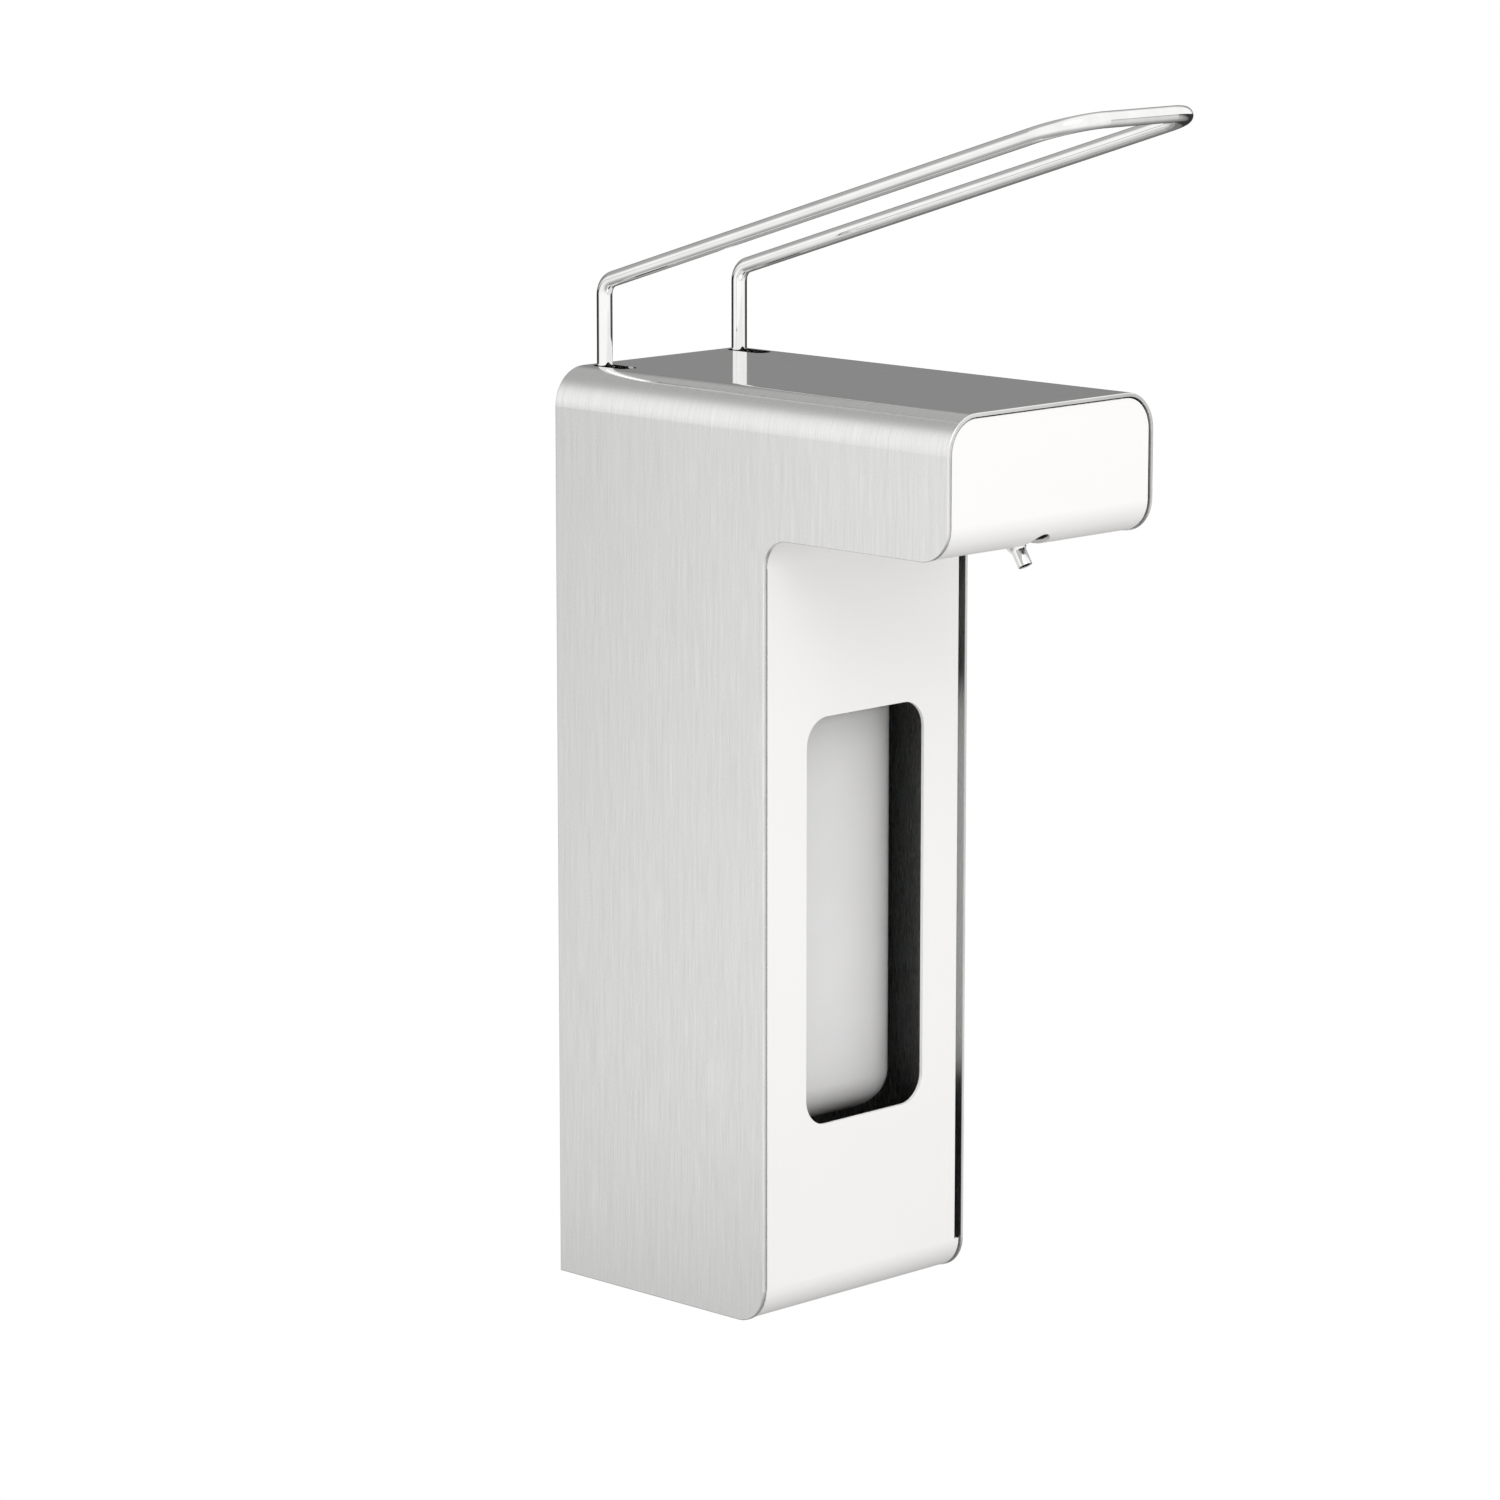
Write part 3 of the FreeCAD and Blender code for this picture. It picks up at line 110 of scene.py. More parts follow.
def add(tree, kind, inputs=None, output=0, stops=(), **options):
    """Add a node with its options, inputs and colour stops, and return one of its outputs."""
    node = tree.nodes.new(kind)
    for name, value in options.items():
        setattr(node, name, value)
    fill(tree, node, inputs or {})
    for index, (position, colour) in enumerate(stops):
        points = node.color_ramp.elements
        point = points[index] if index < 2 else points.new(position)
        point.position = position
        point.color = linear(colour)
    return node.outputs[output]


def finish(name, **sockets):
    """A new finish with its fixed values set, as the material, its tree and its shader."""
    material = bpy.data.materials.new(name)
    material.use_nodes = True
    tree = material.node_tree
    shader = tree.nodes["Principled BSDF"]
    for socket, value in sockets.items():
        shader.inputs[socket.replace("_", " ")].default_value = value
    return material, tree, shader


def pattern_place(tree, across, along=None, upright=None):
    """Object coordinates divided by a pattern's size in X, Y and Z."""
    along = along or across
    upright = upright or along
    where = add(tree, "ShaderNodeTexCoord", output="Object")
    scale = (1 / across, 1 / along, 1 / upright)
    return add(tree, "ShaderNodeMapping", {"Vector": where, "Scale": scale})


def stretched(value, smallest, largest):
    """The inputs of a range that stretches noise between two limits."""
    return {"Value": value, "From Min": 0.25, "From Max": 0.75, "To Min": smallest, "To Max": largest}


def between(value, start, end):
    """The inputs of a range that goes from 0 at start to 1 at end."""
    return {"Value": value, "From Min": start, "From Max": end}


SOFT = {"interpolation_type": "SMOOTHSTEP"}


# %% [markdown]
# Brushed stainless, the cover. The sheet is ground with a belt along one direction before it is
# folded, so the scratches run up both sides and carry on over the bends and across the top. Height
# less the distance from the middle grows steadily along that path, which makes it a ready-made
# coordinate along the grain on every face of the folded sheet. The depth of the object is the
# coordinate across it. A real scratch is a tenth of a millimetre wide, too fine to see from a
# metre away, so it is drawn several times as wide. The flat top is wiped and handled far more than
# the sides, and has a smoother skin that mirrors what stands on it. The inside of the sheet is never
# ground and keeps its mill skin. Its darker colour there is partly that skin and partly painted shade
# for the inside of the housing.

# %% Brushed stainless
SCRATCH_WIDTH = 0.32 * MM
SCRATCH_LENGTH = 16 * MM
BAND_WIDTH = 4 * SCRATCH_WIDTH
BAND_LENGTH = 3 * SCRATCH_LENGTH
BEND_DROP = 4 * MM
BEND_RADIUS = 12 * MM
COVER_GAUGE = 1.2 * MM
MILL_SKIN_AND_SHADE = "#CACAC9"
TOP_ROUGHNESS = 0.07


def brushed_stainless():
    material, tree, shader = finish("brushed_stainless", Metallic=1.0)
    where = add(tree, "ShaderNodeTexCoord", output="Object")
    axes = add(tree, "ShaderNodeSeparateXYZ", {"Vector": where}).node.outputs
    aside = add(tree, "ShaderNodeMath", {0: axes["X"]}, operation="ABSOLUTE")
    grain = add(tree, "ShaderNodeMath", {0: axes["Z"], 1: aside}, operation="SUBTRACT")
    side = add(tree, "ShaderNodeMath", {0: axes["X"]}, operation="SIGN")
    lay = add(tree, "ShaderNodeCombineXYZ", {"X": axes["Y"], "Y": grain, "Z": side})
    fine_scale = (1 / SCRATCH_WIDTH, 1 / SCRATCH_LENGTH, 7.0)
    coarse_scale = (1 / BAND_WIDTH, 1 / BAND_LENGTH, 3.0)
    fine = add(tree, "ShaderNodeMapping", {"Vector": lay, "Scale": fine_scale})
    coarse = add(tree, "ShaderNodeMapping", {"Vector": lay, "Scale": coarse_scale})
    scratches = add(tree, "ShaderNodeTexNoise",
                    {"Vector": fine, "Scale": 1.0, "Detail": 3.0, "Roughness": 0.65})
    bands = add(tree, "ShaderNodeTexNoise", {"Vector": coarse, "Scale": 1.0, "Detail": 2.0})
    pattern = add(tree, "ShaderNodeMix", {"Factor": 0.3, "A": scratches, "B": bands},
                  output="Result", data_type="FLOAT")
    ground = add(tree, "ShaderNodeValToRGB", {"Fac": pattern},
                 stops=[(0.3, "#DDDDDC"), (0.7, "#EDEDEC")])

    half_width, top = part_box("cover")[1].x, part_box("cover")[1].z
    # The inside of the sheet gets a darker colour. It is partly the unground mill skin and partly
    # painted shade inside the housing.
    skin = half_width - 0.6 * COVER_GAUGE
    within_sides = add(tree, "ShaderNodeMapRange",
                       between(aside, skin, skin - 0.2 * COVER_GAUGE), **SOFT)
    below_bend = add(tree, "ShaderNodeMapRange",
                     between(axes["Z"], top - BEND_RADIUS, top - 1.1 * BEND_RADIUS), **SOFT)
    inside = add(tree, "ShaderNodeMath", {0: within_sides, 1: below_bend}, operation="MULTIPLY")
    colour = add(tree, "ShaderNodeMix", {"Factor": inside}, output="Result", data_type="RGBA")
    fill(tree, colour.node, {"A": ground, "B": linear(MILL_SKIN_AND_SHADE)})

    smooth = add(tree, "ShaderNodeMapRange",
                 between(axes["Z"], top - BEND_DROP, top - BEND_DROP / 4), **SOFT)
    ground_gloss = add(tree, "ShaderNodeMapRange", stretched(pattern, 0.32, 0.22))
    gloss = add(tree, "ShaderNodeMix", {"Factor": smooth, "A": ground_gloss, "B": TOP_ROUGHNESS},
                output="Result", data_type="FLOAT")
    depth = add(tree, "ShaderNodeMix", {"Factor": smooth, "A": 0.55, "B": 0.0},
                output="Result", data_type="FLOAT")
    bump = add(tree, "ShaderNodeBump",
               {"Height": pattern, "Distance": 0.004 * MM, "Strength": depth})
    fill(tree, shader, {"Base Color": colour, "Roughness": gloss, "Normal": bump})
    return material


# %% [markdown]
# Powder coat, the white insert. The powder melts and levels on the steel strip, and keeps a faint
# orange peel about a millimetre across. It is a satin white that is nearly free of colour. The peel
# is the only thing that breaks up its highlights, so the bump matters more than the colour.

# %% Powder coat
PEEL_SIZE = 0.9 * MM


def powder_coat():
    material, tree, shader = finish("satin_white_powder_coat", IOR=1.5)
    peel = add(tree, "ShaderNodeTexNoise",
               {"Vector": pattern_place(tree, PEEL_SIZE), "Scale": 1.0, "Detail": 1.5})
    cloud = add(tree, "ShaderNodeTexNoise",
                {"Vector": pattern_place(tree, 40 * MM), "Scale": 1.0, "Detail": 2.0})
    colour = add(tree, "ShaderNodeValToRGB", {"Fac": cloud},
                 stops=[(0.25, "#F8F7F5"), (0.75, "#F9F8F6")])
    gloss = add(tree, "ShaderNodeMapRange", stretched(peel, 0.42, 0.5))
    bump = add(tree, "ShaderNodeBump", {"Height": peel, "Distance": 0.006 * MM, "Strength": 0.5})
    fill(tree, shader, {"Base Color": colour, "Roughness": gloss, "Normal": bump})
    return material


# %% [markdown]
# Polished stainless, the lever and the spout. Drawn wire is polished until it mirrors the room, and
# what is left of the drawing die shows as a slight change of gloss along the wire. The colour hardly
# varies, so the finish is carried by a low roughness that drifts a little.

# %% Polished stainless
WIRE_DRIFT = (3 * MM, 18 * MM, 9 * MM)
WIRE_GRIT = 0.25 * MM


def polished_stainless():
    material, tree, shader = finish("polished_stainless", Metallic=1.0)
    drift = add(tree, "ShaderNodeTexNoise",
                {"Vector": pattern_place(tree, *WIRE_DRIFT), "Scale": 1.0, "Detail": 2.0})
    grit = add(tree, "ShaderNodeTexNoise",
               {"Vector": pattern_place(tree, WIRE_GRIT), "Scale": 1.0, "Detail": 1.0})
    colour = add(tree, "ShaderNodeValToRGB", {"Fac": drift},
                 stops=[(0.3, "#EAEAE9"), (0.7, "#F2F2F1")])
    gloss = add(tree, "ShaderNodeMapRange", stretched(drift, 0.03, 0.07))
    bump = add(tree, "ShaderNodeBump", {"Height": grit, "Distance": 0.001 * MM, "Strength": 0.3})
    fill(tree, shader, {"Base Color": colour, "Roughness": gloss, "Normal": bump})
    return material


# %% [markdown]
# Sheet with a mill finish, the back plate and brackets. It comes off the rolls dull and a little
# clouded, with faint lines along the rolling direction, and nobody polishes it because it is hidden.

# %% Mill finish sheet
ROLL_LINE = 0.5 * MM


def mill_finish():
    material, tree, shader = finish("mill_finish_sheet", Metallic=1.0)
    rolled = pattern_place(tree, 30 * MM, ROLL_LINE, ROLL_LINE)
    lines = add(tree, "ShaderNodeTexNoise",
                {"Vector": rolled, "Scale": 1.0, "Detail": 3.0, "Roughness": 0.6})
    cloud = add(tree, "ShaderNodeTexNoise",
                {"Vector": pattern_place(tree, 25 * MM), "Scale": 1.0, "Detail": 4.0})
    pattern = add(tree, "ShaderNodeMix", {"Factor": 0.5, "A": lines, "B": cloud},
                  output="Result", data_type="FLOAT")
    colour = add(tree, "ShaderNodeValToRGB", {"Fac": pattern},
                 stops=[(0.3, "#A2A3A1"), (0.7, "#C0C1BF")])
    gloss = add(tree, "ShaderNodeMapRange", stretched(pattern, 0.38, 0.52))
    bump = add(tree, "ShaderNodeBump", {"Height": lines, "Distance": 0.008 * MM, "Strength": 0.4})
    fill(tree, shader, {"Base Color": colour, "Roughness": gloss, "Normal": bump})
    return material


# %% [markdown]
# Zinc plate, the screws. Bright zinc is passivated, which gives it cold blue-grey spangles about a
# millimetre across. Voronoi cells have that look, each with its own shade.

# %% Zinc plate
SPANGLE = 0.8 * MM


def zinc_plate():
    material, tree, shader = finish("passivated_zinc", Metallic=1.0)
    cells = add(tree, "ShaderNodeTexVoronoi",
                {"Vector": pattern_place(tree, SPANGLE), "Scale": 1.0}, output="Color")
    shade = add(tree, "ShaderNodeSeparateColor", {"Color": cells})
    colour = add(tree, "ShaderNodeValToRGB", {"Fac": shade},
                 stops=[(0.0, "#A9B0B6"), (1.0, "#CBD0D4")])
    gloss = add(tree, "ShaderNodeMapRange", stretched(shade, 0.28, 0.4))
    fill(tree, shader, {"Base Color": colour, "Roughness": gloss})
    return material


# %% [markdown]
# Spring wire and valve balls are hard drawn or ground steel, darker than the polished lever, with
# marks that follow the turns too finely to be seen, so a fine grit in the gloss stands for them.

# %% Spring steel
STEEL_GRIT = 0.3 * MM


def spring_steel():
    material, tree, shader = finish("drawn_spring_steel", Metallic=1.0)
    grit = add(tree, "ShaderNodeTexNoise",
               {"Vector": pattern_place(tree, STEEL_GRIT), "Scale": 1.0, "Detail": 3.0})
    colour = add(tree, "ShaderNodeValToRGB", {"Fac": grit},
                 stops=[(0.3, "#8E8F91"), (0.7, "#ABACAE")])
    gloss = add(tree, "ShaderNodeMapRange", stretched(grit, 0.22, 0.34))
    bump = add(tree, "ShaderNodeBump", {"Height": grit, "Distance": 0.003 * MM, "Strength": 0.4})
    fill(tree, shader, {"Base Color": colour, "Roughness": gloss, "Normal": bump})
    return material


# %% [markdown]
# Polyethylene, the bottle and the tubes. It is blown or extruded without pigment, so it is milky:
# light goes a little way in and comes out again beside where it went in, which subsurface scattering
# gives. The surface is waxy. Seen through the window, the bottle's front is an even light grey that
# falls off softly towards its corner and its base. A fixed fade of the colour gives that: away from
# the middle of the front, and down at the base. It is a painted shade and not a property of the
# plastic. It also darkens the bottle's two sides all over, which the cover hides.

# %% Natural polyethylene
CORNER_FADE = (2 * MM, 11 * MM)
BASE_FADE = (-2 * MM, 7 * MM)
SHADED = "#747575"
WAX_CLOUD = 30 * MM
WAX_SKIN = 0.6 * MM


def natural_polyethylene():
    material, tree, shader = finish("natural_polyethylene", IOR=1.51, Subsurface_Weight=0.12,
                                    Subsurface_Scale=1.0 * MM)
    cloud = add(tree, "ShaderNodeTexNoise",
                {"Vector": pattern_place(tree, WAX_CLOUD), "Scale": 1.0, "Detail": 1.5})
    skin = add(tree, "ShaderNodeTexNoise",
               {"Vector": pattern_place(tree, WAX_SKIN), "Scale": 1.0, "Detail": 2.0})
    where = add(tree, "ShaderNodeTexCoord", output="Object")
    axes = add(tree, "ShaderNodeSeparateXYZ", {"Vector": where}).node.outputs
    aside = add(tree, "ShaderNodeMath", {0: axes["X"]}, operation="ABSOLUTE")
    base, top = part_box("bottle")
    corner = add(tree, "ShaderNodeMapRange",
                 between(aside, top.x - CORNER_FADE[1], top.x - CORNER_FADE[0]), **SOFT)
    foot = add(tree, "ShaderNodeMapRange",
               between(axes["Z"], base.z + BASE_FADE[1], base.z + BASE_FADE[0]), **SOFT)
    shaded = add(tree, "ShaderNodeMath", {0: corner, 1: foot}, operation="MAXIMUM")
    milky = add(tree, "ShaderNodeValToRGB", {"Fac": cloud},
                stops=[(0.3, "#EAEAE9"), (0.7, "#EEEEED")])
    colour = add(tree, "ShaderNodeMix", {"Factor": shaded}, output="Result", data_type="RGBA")
    fill(tree, colour.node, {"A": milky, "B": linear(SHADED)})
    gloss = add(tree, "ShaderNodeMapRange", stretched(skin, 0.42, 0.52))
    bump = add(tree, "ShaderNodeBump", {"Height": skin, "Distance": 0.004 * MM, "Strength": 0.4})
    fill(tree, shader, {"Base Color": colour, "Roughness": gloss, "Normal": bump})
    return material


# %% [markdown]
# Moulded plastics. The pump, the tray and the rocker are all moulded in tools with a spark-eroded
# skin, and only the pigment differs, so one function makes the three from a pair of shades.

# %% Moulded plastics
SPARK_GRAIN = 0.35 * MM
PIGMENT_CLOUD = 12 * MM


def moulded_plastic(name, darker, lighter, gloss):
    material, tree, shader = finish(name, IOR=1.49)
    skin = add(tree, "ShaderNodeTexNoise", {"Vector": pattern_place(tree, SPARK_GRAIN),
                                            "Scale": 1.0, "Detail": 2.5, "Roughness": 0.6})
    cloud = add(tree, "ShaderNodeTexNoise",
                {"Vector": pattern_place(tree, PIGMENT_CLOUD), "Scale": 1.0, "Detail": 2.0})
    colour = add(tree, "ShaderNodeValToRGB", {"Fac": cloud}, stops=[(0.3, darker), (0.7, lighter)])
    drift = add(tree, "ShaderNodeMapRange", stretched(skin, gloss, gloss + 0.12))
    bump = add(tree, "ShaderNodeBump", {"Height": skin, "Distance": 0.02 * MM, "Strength": 0.5})
    fill(tree, shader, {"Base Color": colour, "Roughness": drift, "Normal": bump})
    return material


# %% [markdown]
# Rubber, the gasket and seals. Moulded elastomer is almost black and dusty with talc, which lifts
# its colour in specks and keeps it from shining.

# %% Rubber
TALC_SPECK = 0.4 * MM


def black_rubber():
    material, tree, shader = finish("moulded_elastomer", IOR=1.52)
    talc = add(tree, "ShaderNodeTexNoise", {"Vector": pattern_place(tree, TALC_SPECK),
                                            "Scale": 1.0, "Detail": 4.0, "Roughness": 0.7})
    colour = add(tree, "ShaderNodeValToRGB", {"Fac": talc},
                 stops=[(0.45, "#161616"), (0.8, "#333332")])
    gloss = add(tree, "ShaderNodeMapRange", stretched(talc, 0.62, 0.8))
    bump = add(tree, "ShaderNodeBump", {"Height": talc, "Distance": 0.015 * MM, "Strength": 0.5})
    fill(tree, shader, {"Base Color": colour, "Roughness": gloss, "Normal": bump})
    return material


# %% [markdown]
# The record names a finish slot for every piece. Making one finish per slot and walking the record
# dresses the whole object at once, and a piece that was missed would stop the script.

# %% A finish for every slot
finishes = {
    "brushed_stainless_cover": brushed_stainless(),
    "white_coated_steel": powder_coat(),
    "polished_stainless": polished_stainless(),
    "satin_plate_steel": mill_finish(),
    "zinc_screws": zinc_plate(),
    "spring_steel": spring_steel(),
    "natural_polyethylene": natural_polyethylene(),
    "white_moulded_plastic": moulded_plastic("white_polypropylene", "#E4E4E1", "#EEEEEB", 0.38),
    "grey_moulded_plastic": moulded_plastic("grey_abs", "#6C6F71", "#7B7E80", 0.45),
    "black_acetal": moulded_plastic("black_acetal", "#161617", "#212122", 0.34),
    "black_rubber": black_rubber(),
}
slots = {part["node"]: part["material_slot"] for part in frame["record"]["subparts"]}


def dress(piece, slot):
    """Give a piece the one finish of its slot."""
    piece.data.materials.clear()
    piece.data.materials.append(finishes[slot])


for name, node in nodes.items():
    dress(node, slots[name])
print(len(nodes), "pieces dressed in", len(finishes), "finishes")

# %% [markdown]
# Cut and moulded edges. No real edge is perfectly sharp: coating pulls back from it into a small
# round, a mould needs a radius, and a punched plate is tumbled. A plain solid has none of them, and
# so none of the thin bright lines that they catch. A copy of each such solid is merged, its flat
# faces are made whole again, and a bevel rounds every edge that turns sharply. Flat faces next to a
# round have to keep their own shading, which the weighted normals see to.

# %% Rounding the edges of a piece
SHARP_TURN = math.radians(35)
FLAT_TURN = math.radians(0.5)
SAME_PLACE = 0.002 * MM
bodies = frame["record"]["behaviour"]["bodies"]
body_of_node = {node: body for body, members in bodies.items() for node in members}


def workpiece(name, shape, slot, body, *replaced):
    """Make a piece of a finished bmesh: it rides on a body and stands for CAD nodes."""
    mesh = bpy.data.meshes.new(name)
    shape.to_mesh(mesh)
    shape.free()
    mesh.shade_smooth()
    piece = bpy.data.objects.new(name, mesh)
    bpy.context.scene.collection.objects.link(piece)
    weighted = piece.modifiers.new("flat_faces_stay_flat", "WEIGHTED_NORMAL")
    weighted.keep_sharp = True
    dress(piece, slot)
    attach(piece, body)
    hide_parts(*replaced)
    return piece


def softened(node, radius):
    """A copy of a node with its sharp edges rounded, which stands for that node."""
    shape = bmesh.new()
    shape.from_mesh(nodes[node].data)
    bmesh.ops.remove_doubles(shape, verts=shape.verts, dist=SAME_PLACE)
    bmesh.ops.dissolve_limit(shape, angle_limit=FLAT_TURN, verts=shape.verts, edges=shape.edges)
    sharp = [edge for edge in shape.edges
             if edge.is_manifold and edge.calc_face_angle() > SHARP_TURN]
    bmesh.ops.bevel(shape, geom=sharp, offset=radius, segments=2, profile=0.5,
                    affect="EDGES", material=-1, clamp_overlap=True)
    return workpiece(f"{node}_edged", shape, slots[node], body_of_node[node], node)


# %% The radius of each piece's edges
EDGE_RADII = {
    "front_insert": 0.25 * MM,
    "back_plate": 0.2 * MM,
    "drip_tray": 0.4 * MM,
    "cover_clips": 0.4 * MM,
    "insert_clips": 0.4 * MM,
    "pivot_bracket": 0.2 * MM,
    "pump_shelf": 0.2 * MM,
    "rocker": 0.4 * MM,
    "plunger_cap": 0.4 * MM,
    "pump_lid": 0.25 * MM,
    "outlet_nozzle": 0.15 * MM,
}
for node, radius in EDGE_RADII.items():
    piece = softened(node, radius)
    print(piece.name, len(piece.data.polygons), "faces")

# %% [markdown]
# The closure ring is tightened by hand, so its skirt has grip ribs, with flats between them. The
# ring is a turned shape: its section is spun once round, in as many steps as there are ribs and
# flats, and every second outer face is pushed out to make a rib.

# %% Closure ring with grip ribs
RIB_COUNT = 40
RIB_HEIGHT = 0.7 * MM
RIB_TAPER = 0.93
RING_LIP_GAUGE = 1.8 * MM
RING_ROUND = 0.6 * MM
LID_GAP = 0.35 * MM
GASKET_GAP = 0.5 * MM


def closure_ring():
    bottom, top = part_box("closure_ring")
    gasket_low, gasket_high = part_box("neck_gasket")
    lid_low, lid_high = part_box("pump_lid")
    middle = (bottom + top) / 2
    outer = (top.x - bottom.x) / 2 - RIB_HEIGHT
    inner = (gasket_high.x - gasket_low.x) / 2 + GASKET_GAP
    lip = (lid_high.x - lid_low.x) / 2 + LID_GAP
    under_lip = top.z - RING_LIP_GAUGE
    section = [(inner, bottom.z), (outer - RING_ROUND, bottom.z), (outer, bottom.z + RING_ROUND),
               (outer, top.z - 2 * RING_ROUND), (outer - 2 * RING_ROUND, top.z), (lip, top.z),
               (lip, under_lip), (inner, under_lip)]
    shape = bmesh.new()
    corners = [shape.verts.new((radius, 0, height)) for radius, height in section]
    edges = [shape.edges.new((corners[i - 1], corners[i])) for i in range(len(corners))]
    bmesh.ops.spin(shape, geom=corners + edges, cent=(0, 0, 0), axis=(0, 0, 1), dvec=(0, 0, 0),
                   angle=math.tau, steps=RIB_COUNT * 2, use_merge=True, use_duplicate=False)
    bmesh.ops.remove_doubles(shape, verts=shape.verts, dist=SAME_PLACE)
    bmesh.ops.recalc_face_normals(shape, faces=shape.faces)
    skirt = [face for face in shape.faces
             if abs(face.normal.z) < 0.1 and face.calc_center_median().xy.length > outer * 0.99]
    skirt.sort(key=lambda face: math.atan2(*face.calc_center_median().xy))
    for rib in bmesh.ops.extrude_discrete_faces(shape, faces=skirt[::2])["faces"]:
        away = Vector((*rib.calc_center_median().xy.normalized(), 0))
        bmesh.ops.translate(shape, verts=rib.verts, vec=away * RIB_HEIGHT * 0.95)
        bmesh.ops.scale(shape, verts=rib.verts, vec=(RIB_TAPER, RIB_TAPER, RIB_TAPER),
                        space=Matrix.Translation(-rib.calc_center_median()))
    bmesh.ops.translate(shape, verts=shape.verts, vec=(middle.x, middle.y, 0))
    return workpiece("closure_ring_ribbed", shape, slots["closure_ring"], "housing", "closure_ring")


print(closure_ring().name, RIB_COUNT, "ribs")

# %% [markdown]
# The camera stands to the left, a little above, nearly two metres away with a long lens, so that the
# head and the lever keep their proportions. Its place and its two angles are all it takes to aim it.

# %% Camera
LENS = 139.8
CAMERA_PLACE = Vector((-1.2941, -1.3244, 0.3637))
TURN_TO_RIGHT = math.radians(45.23)
TILT_DOWN = math.radians(10.67)

camera_data = bpy.data.cameras.new("camera")
camera_data.lens = LENS
camera = bpy.data.objects.new("camera", camera_data)
camera.location = CAMERA_PLACE
camera.rotation_euler = (math.pi / 2 - TILT_DOWN, 0, -TURN_TO_RIGHT)
bpy.context.scene.collection.objects.link(camera)
bpy.context.scene.camera = camera
print("the camera is", round((camera.location - (low + high) / 2).length, 3), "m from the middle")

# %% [markdown]
# Metal shows its surroundings more than itself. The room is therefore part of the finish. It is
# bright in front and on the left, so that the cover's flank stays light. Behind the wall to the
# right it is grey, and less so higher up, so that the flat top comes out darker than the flank and
# the bend between them has a band of its own.

# %% The room
ROOM_LIGHT = "#FFFFFF"
ROOM_CORNER = "#8A8A8A"
ROOM_CORNER_TOP = "#B4B4B4"
ROOM_STRENGTH = 1.08


def light_the_room():
    world = bpy.data.worlds.new("studio")
    bpy.context.scene.world = world
    world.use_nodes = True
    tree = world.node_tree
    towards = add(tree, "ShaderNodeTexCoord", output="Generated")
    axes = add(tree, "ShaderNodeSeparateXYZ", {"Vector": towards}).node.outputs
    behind = add(tree, "ShaderNodeMapRange", between(axes["Y"], 0.1, 0.5), **SOFT)
    to_right = add(tree, "ShaderNodeMapRange", between(axes["X"], -0.6, -0.2), **SOFT)
    upwards = add(tree, "ShaderNodeMapRange", between(axes["Z"], 0.25, 0.55), **SOFT)
    corner = add(tree, "ShaderNodeMath", {0: behind, 1: to_right}, operation="MULTIPLY")
    grey = add(tree, "ShaderNodeMix", {"Factor": upwards}, output="Result", data_type="RGBA")
    fill(tree, grey.node, {"A": linear(ROOM_CORNER), "B": linear(ROOM_CORNER_TOP)})
    room = add(tree, "ShaderNodeMix", {"Factor": corner}, output="Result", data_type="RGBA")
    fill(tree, room.node, {"A": linear(ROOM_LIGHT), "B": grey})
    fill(tree, tree.nodes["Background"], {"Color": room, "Strength": ROOM_STRENGTH})


light_the_room()
print("room lit at strength", ROOM_STRENGTH)

# %% [markdown]
# A large soft panel up to the left gives the shapes a direction. The object hangs on a wall, so the
# floor is a hand's breadth below it. The floor is plain white to the eye. For every other ray it
# glows with painted light: bright in front of the object, dark behind it to the right, where no wall
# is modelled, and with a painted shadow right below, so that the undersides show their shape and the
# polished wire gets a darker lower edge.

# %% Soft panel and floor
FLOOR_DROP = 0.2
FLOOR_SIZE = 12
FLOOR_STRENGTH = 1.1
FLOOR_PAINTED_SHADOW_STRENGTH = 0.4 * FLOOR_STRENGTH
FLOOR_NEAR_REACH = (0.35, 1.1)
FLOOR_SHADES = [(0.0, "#FFFFFF"), (0.48, "#F2F2F2"), (0.6, "#A0A0A0"), (0.76, "#343434")]
FLOOR_REACH = 3.0
KEY_PLACE = (-1.3, -1.6, 1.7)
KEY_SIZE = 1.4
KEY_POWER = 9.5


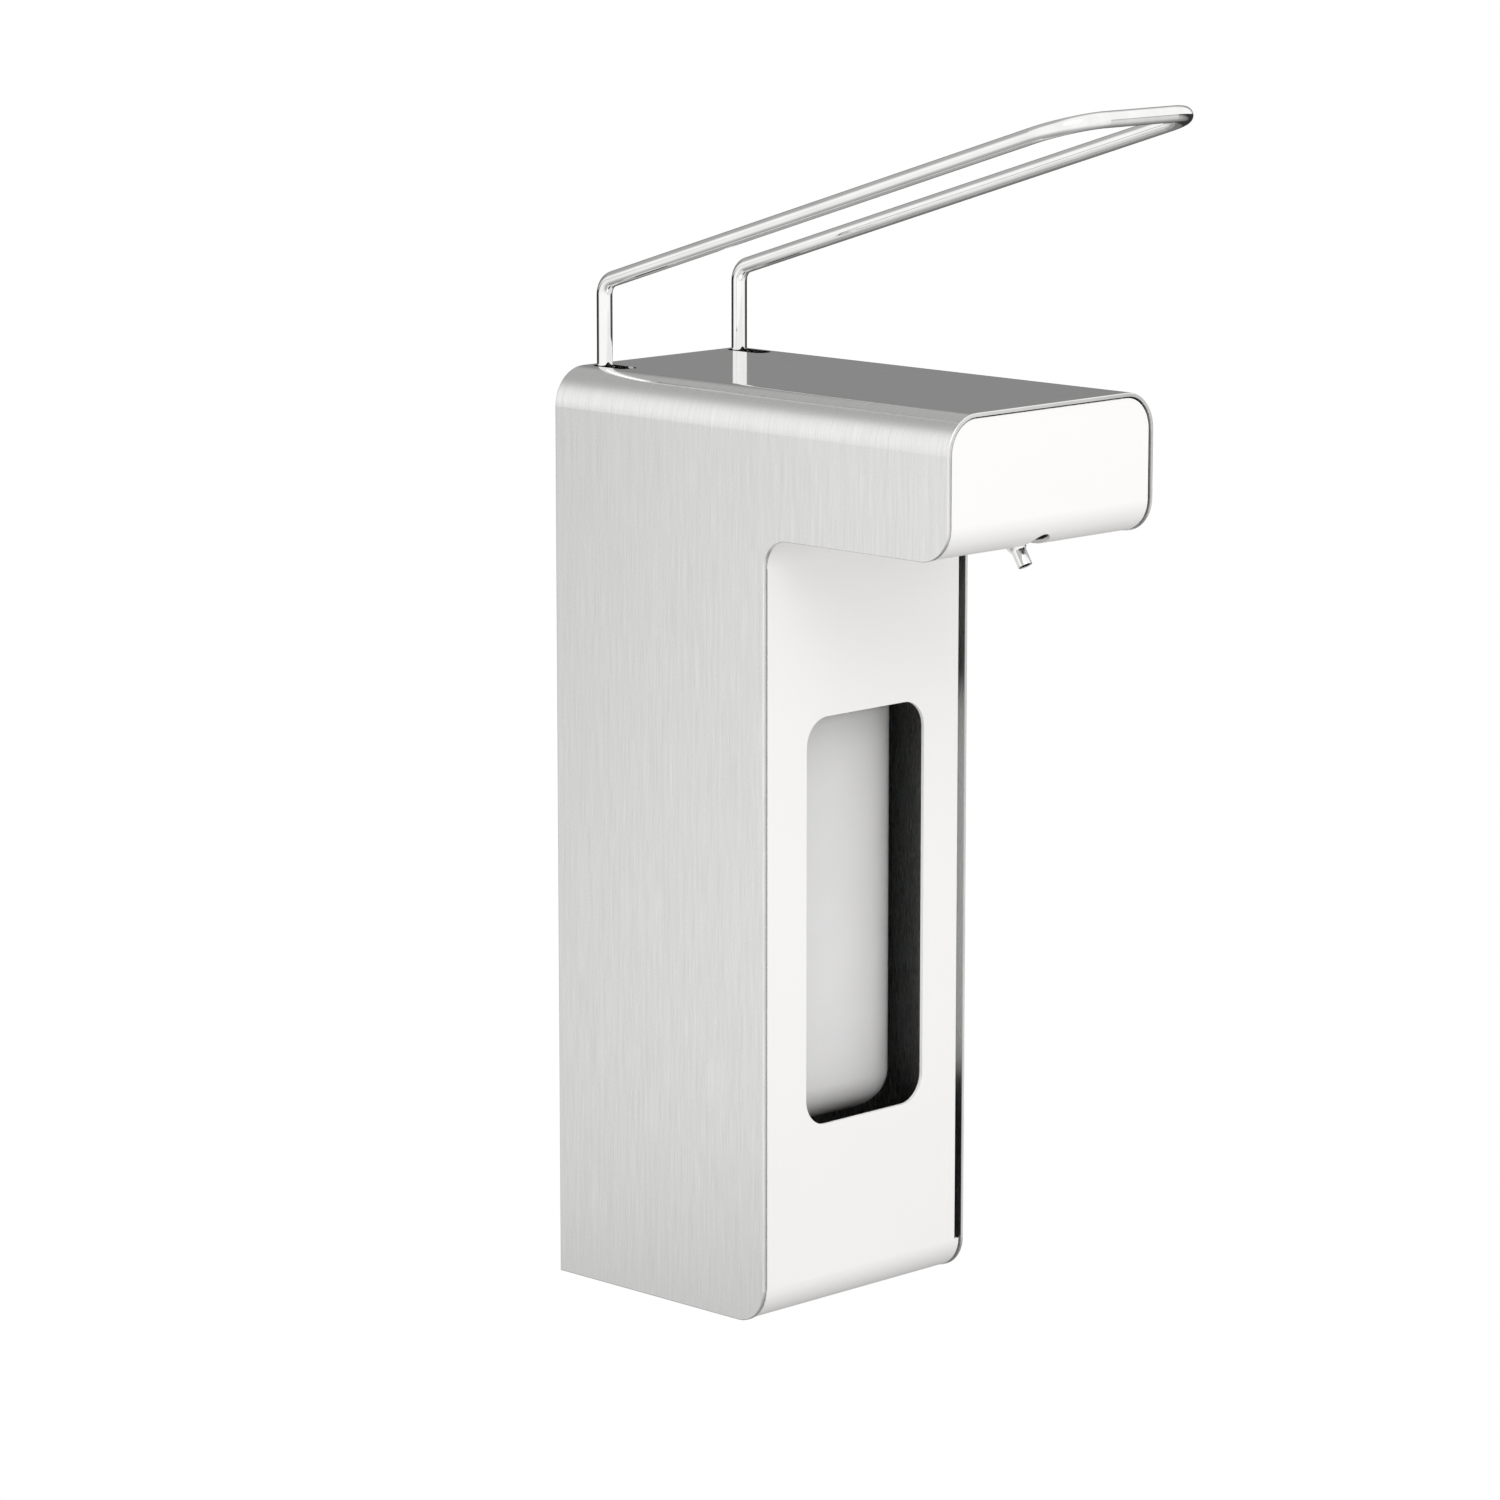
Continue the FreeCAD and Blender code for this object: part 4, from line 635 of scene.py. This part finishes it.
def soft_panel(name, place, size, power):
    data = bpy.data.lights.new(name, "AREA")
    data.size = size
    data.energy = power
    panel = bpy.data.objects.new(name, data)
    panel.location = place
    towards = (low + high) / 2 - Vector(place)
    panel.rotation_euler = towards.to_track_quat("-Z", "Y").to_euler()
    bpy.context.scene.collection.objects.link(panel)


def floor_light():
    """White for the camera, and painted light and shade by place for every other ray."""
    material, tree, shader = finish("pale_floor")
    where = add(tree, "ShaderNodeTexCoord", output="Object")
    axes = add(tree, "ShaderNodeSeparateXYZ", {"Vector": where}).node.outputs
    # Towards the back right the floor's glow fades to dark. This is painted shade, as no wall is
    # modelled.
    back = add(tree, "ShaderNodeMath", {0: axes["X"], 1: axes["Y"]}, operation="ADD")
    along = add(tree, "ShaderNodeMapRange", between(back, -FLOOR_REACH, FLOOR_REACH))
    shades = add(tree, "ShaderNodeValToRGB", {"Fac": along}, stops=FLOOR_SHADES)
    # Close below the object the floor's glow is weaker. This is a painted shadow of the object.
    far = add(tree, "ShaderNodeVectorMath", {0: where}, output="Value", operation="LENGTH")
    away = add(tree, "ShaderNodeMapRange", between(far, *FLOOR_NEAR_REACH), **SOFT)
    strength = add(tree, "ShaderNodeMix",
                   {"Factor": away, "A": FLOOR_PAINTED_SHADOW_STRENGTH, "B": FLOOR_STRENGTH},
                   output="Result", data_type="FLOAT")
    sent = add(tree, "ShaderNodeEmission", {"Color": shades, "Strength": strength})
    seen = add(tree, "ShaderNodeEmission", {"Color": linear("#FFFFFF")})
    camera_ray = add(tree, "ShaderNodeLightPath", output="Is Camera Ray")
    mix = add(tree, "ShaderNodeMixShader", {"Fac": camera_ray, 1: sent, 2: seen})
    fill(tree, tree.nodes["Material Output"], {"Surface": mix})
    tree.nodes.remove(shader)
    return material


def pale_floor():
    mesh = bpy.data.meshes.new("floor")
    shape = bmesh.new()
    bmesh.ops.create_grid(shape, x_segments=1, y_segments=1, size=FLOOR_SIZE)
    bmesh.ops.translate(shape, verts=shape.verts, vec=(0, 0, low.z - FLOOR_DROP))
    shape.to_mesh(mesh)
    shape.free()
    floor = bpy.data.objects.new("floor", mesh)
    bpy.context.scene.collection.objects.link(floor)
    mesh.materials.append(floor_light())


soft_panel("key", KEY_PLACE, KEY_SIZE, KEY_POWER)
pale_floor()
bpy.context.scene.view_settings.view_transform = "Standard"
print("floor", round((low.z - FLOOR_DROP) / MM), "mm from the origin, key light", KEY_POWER, "W")
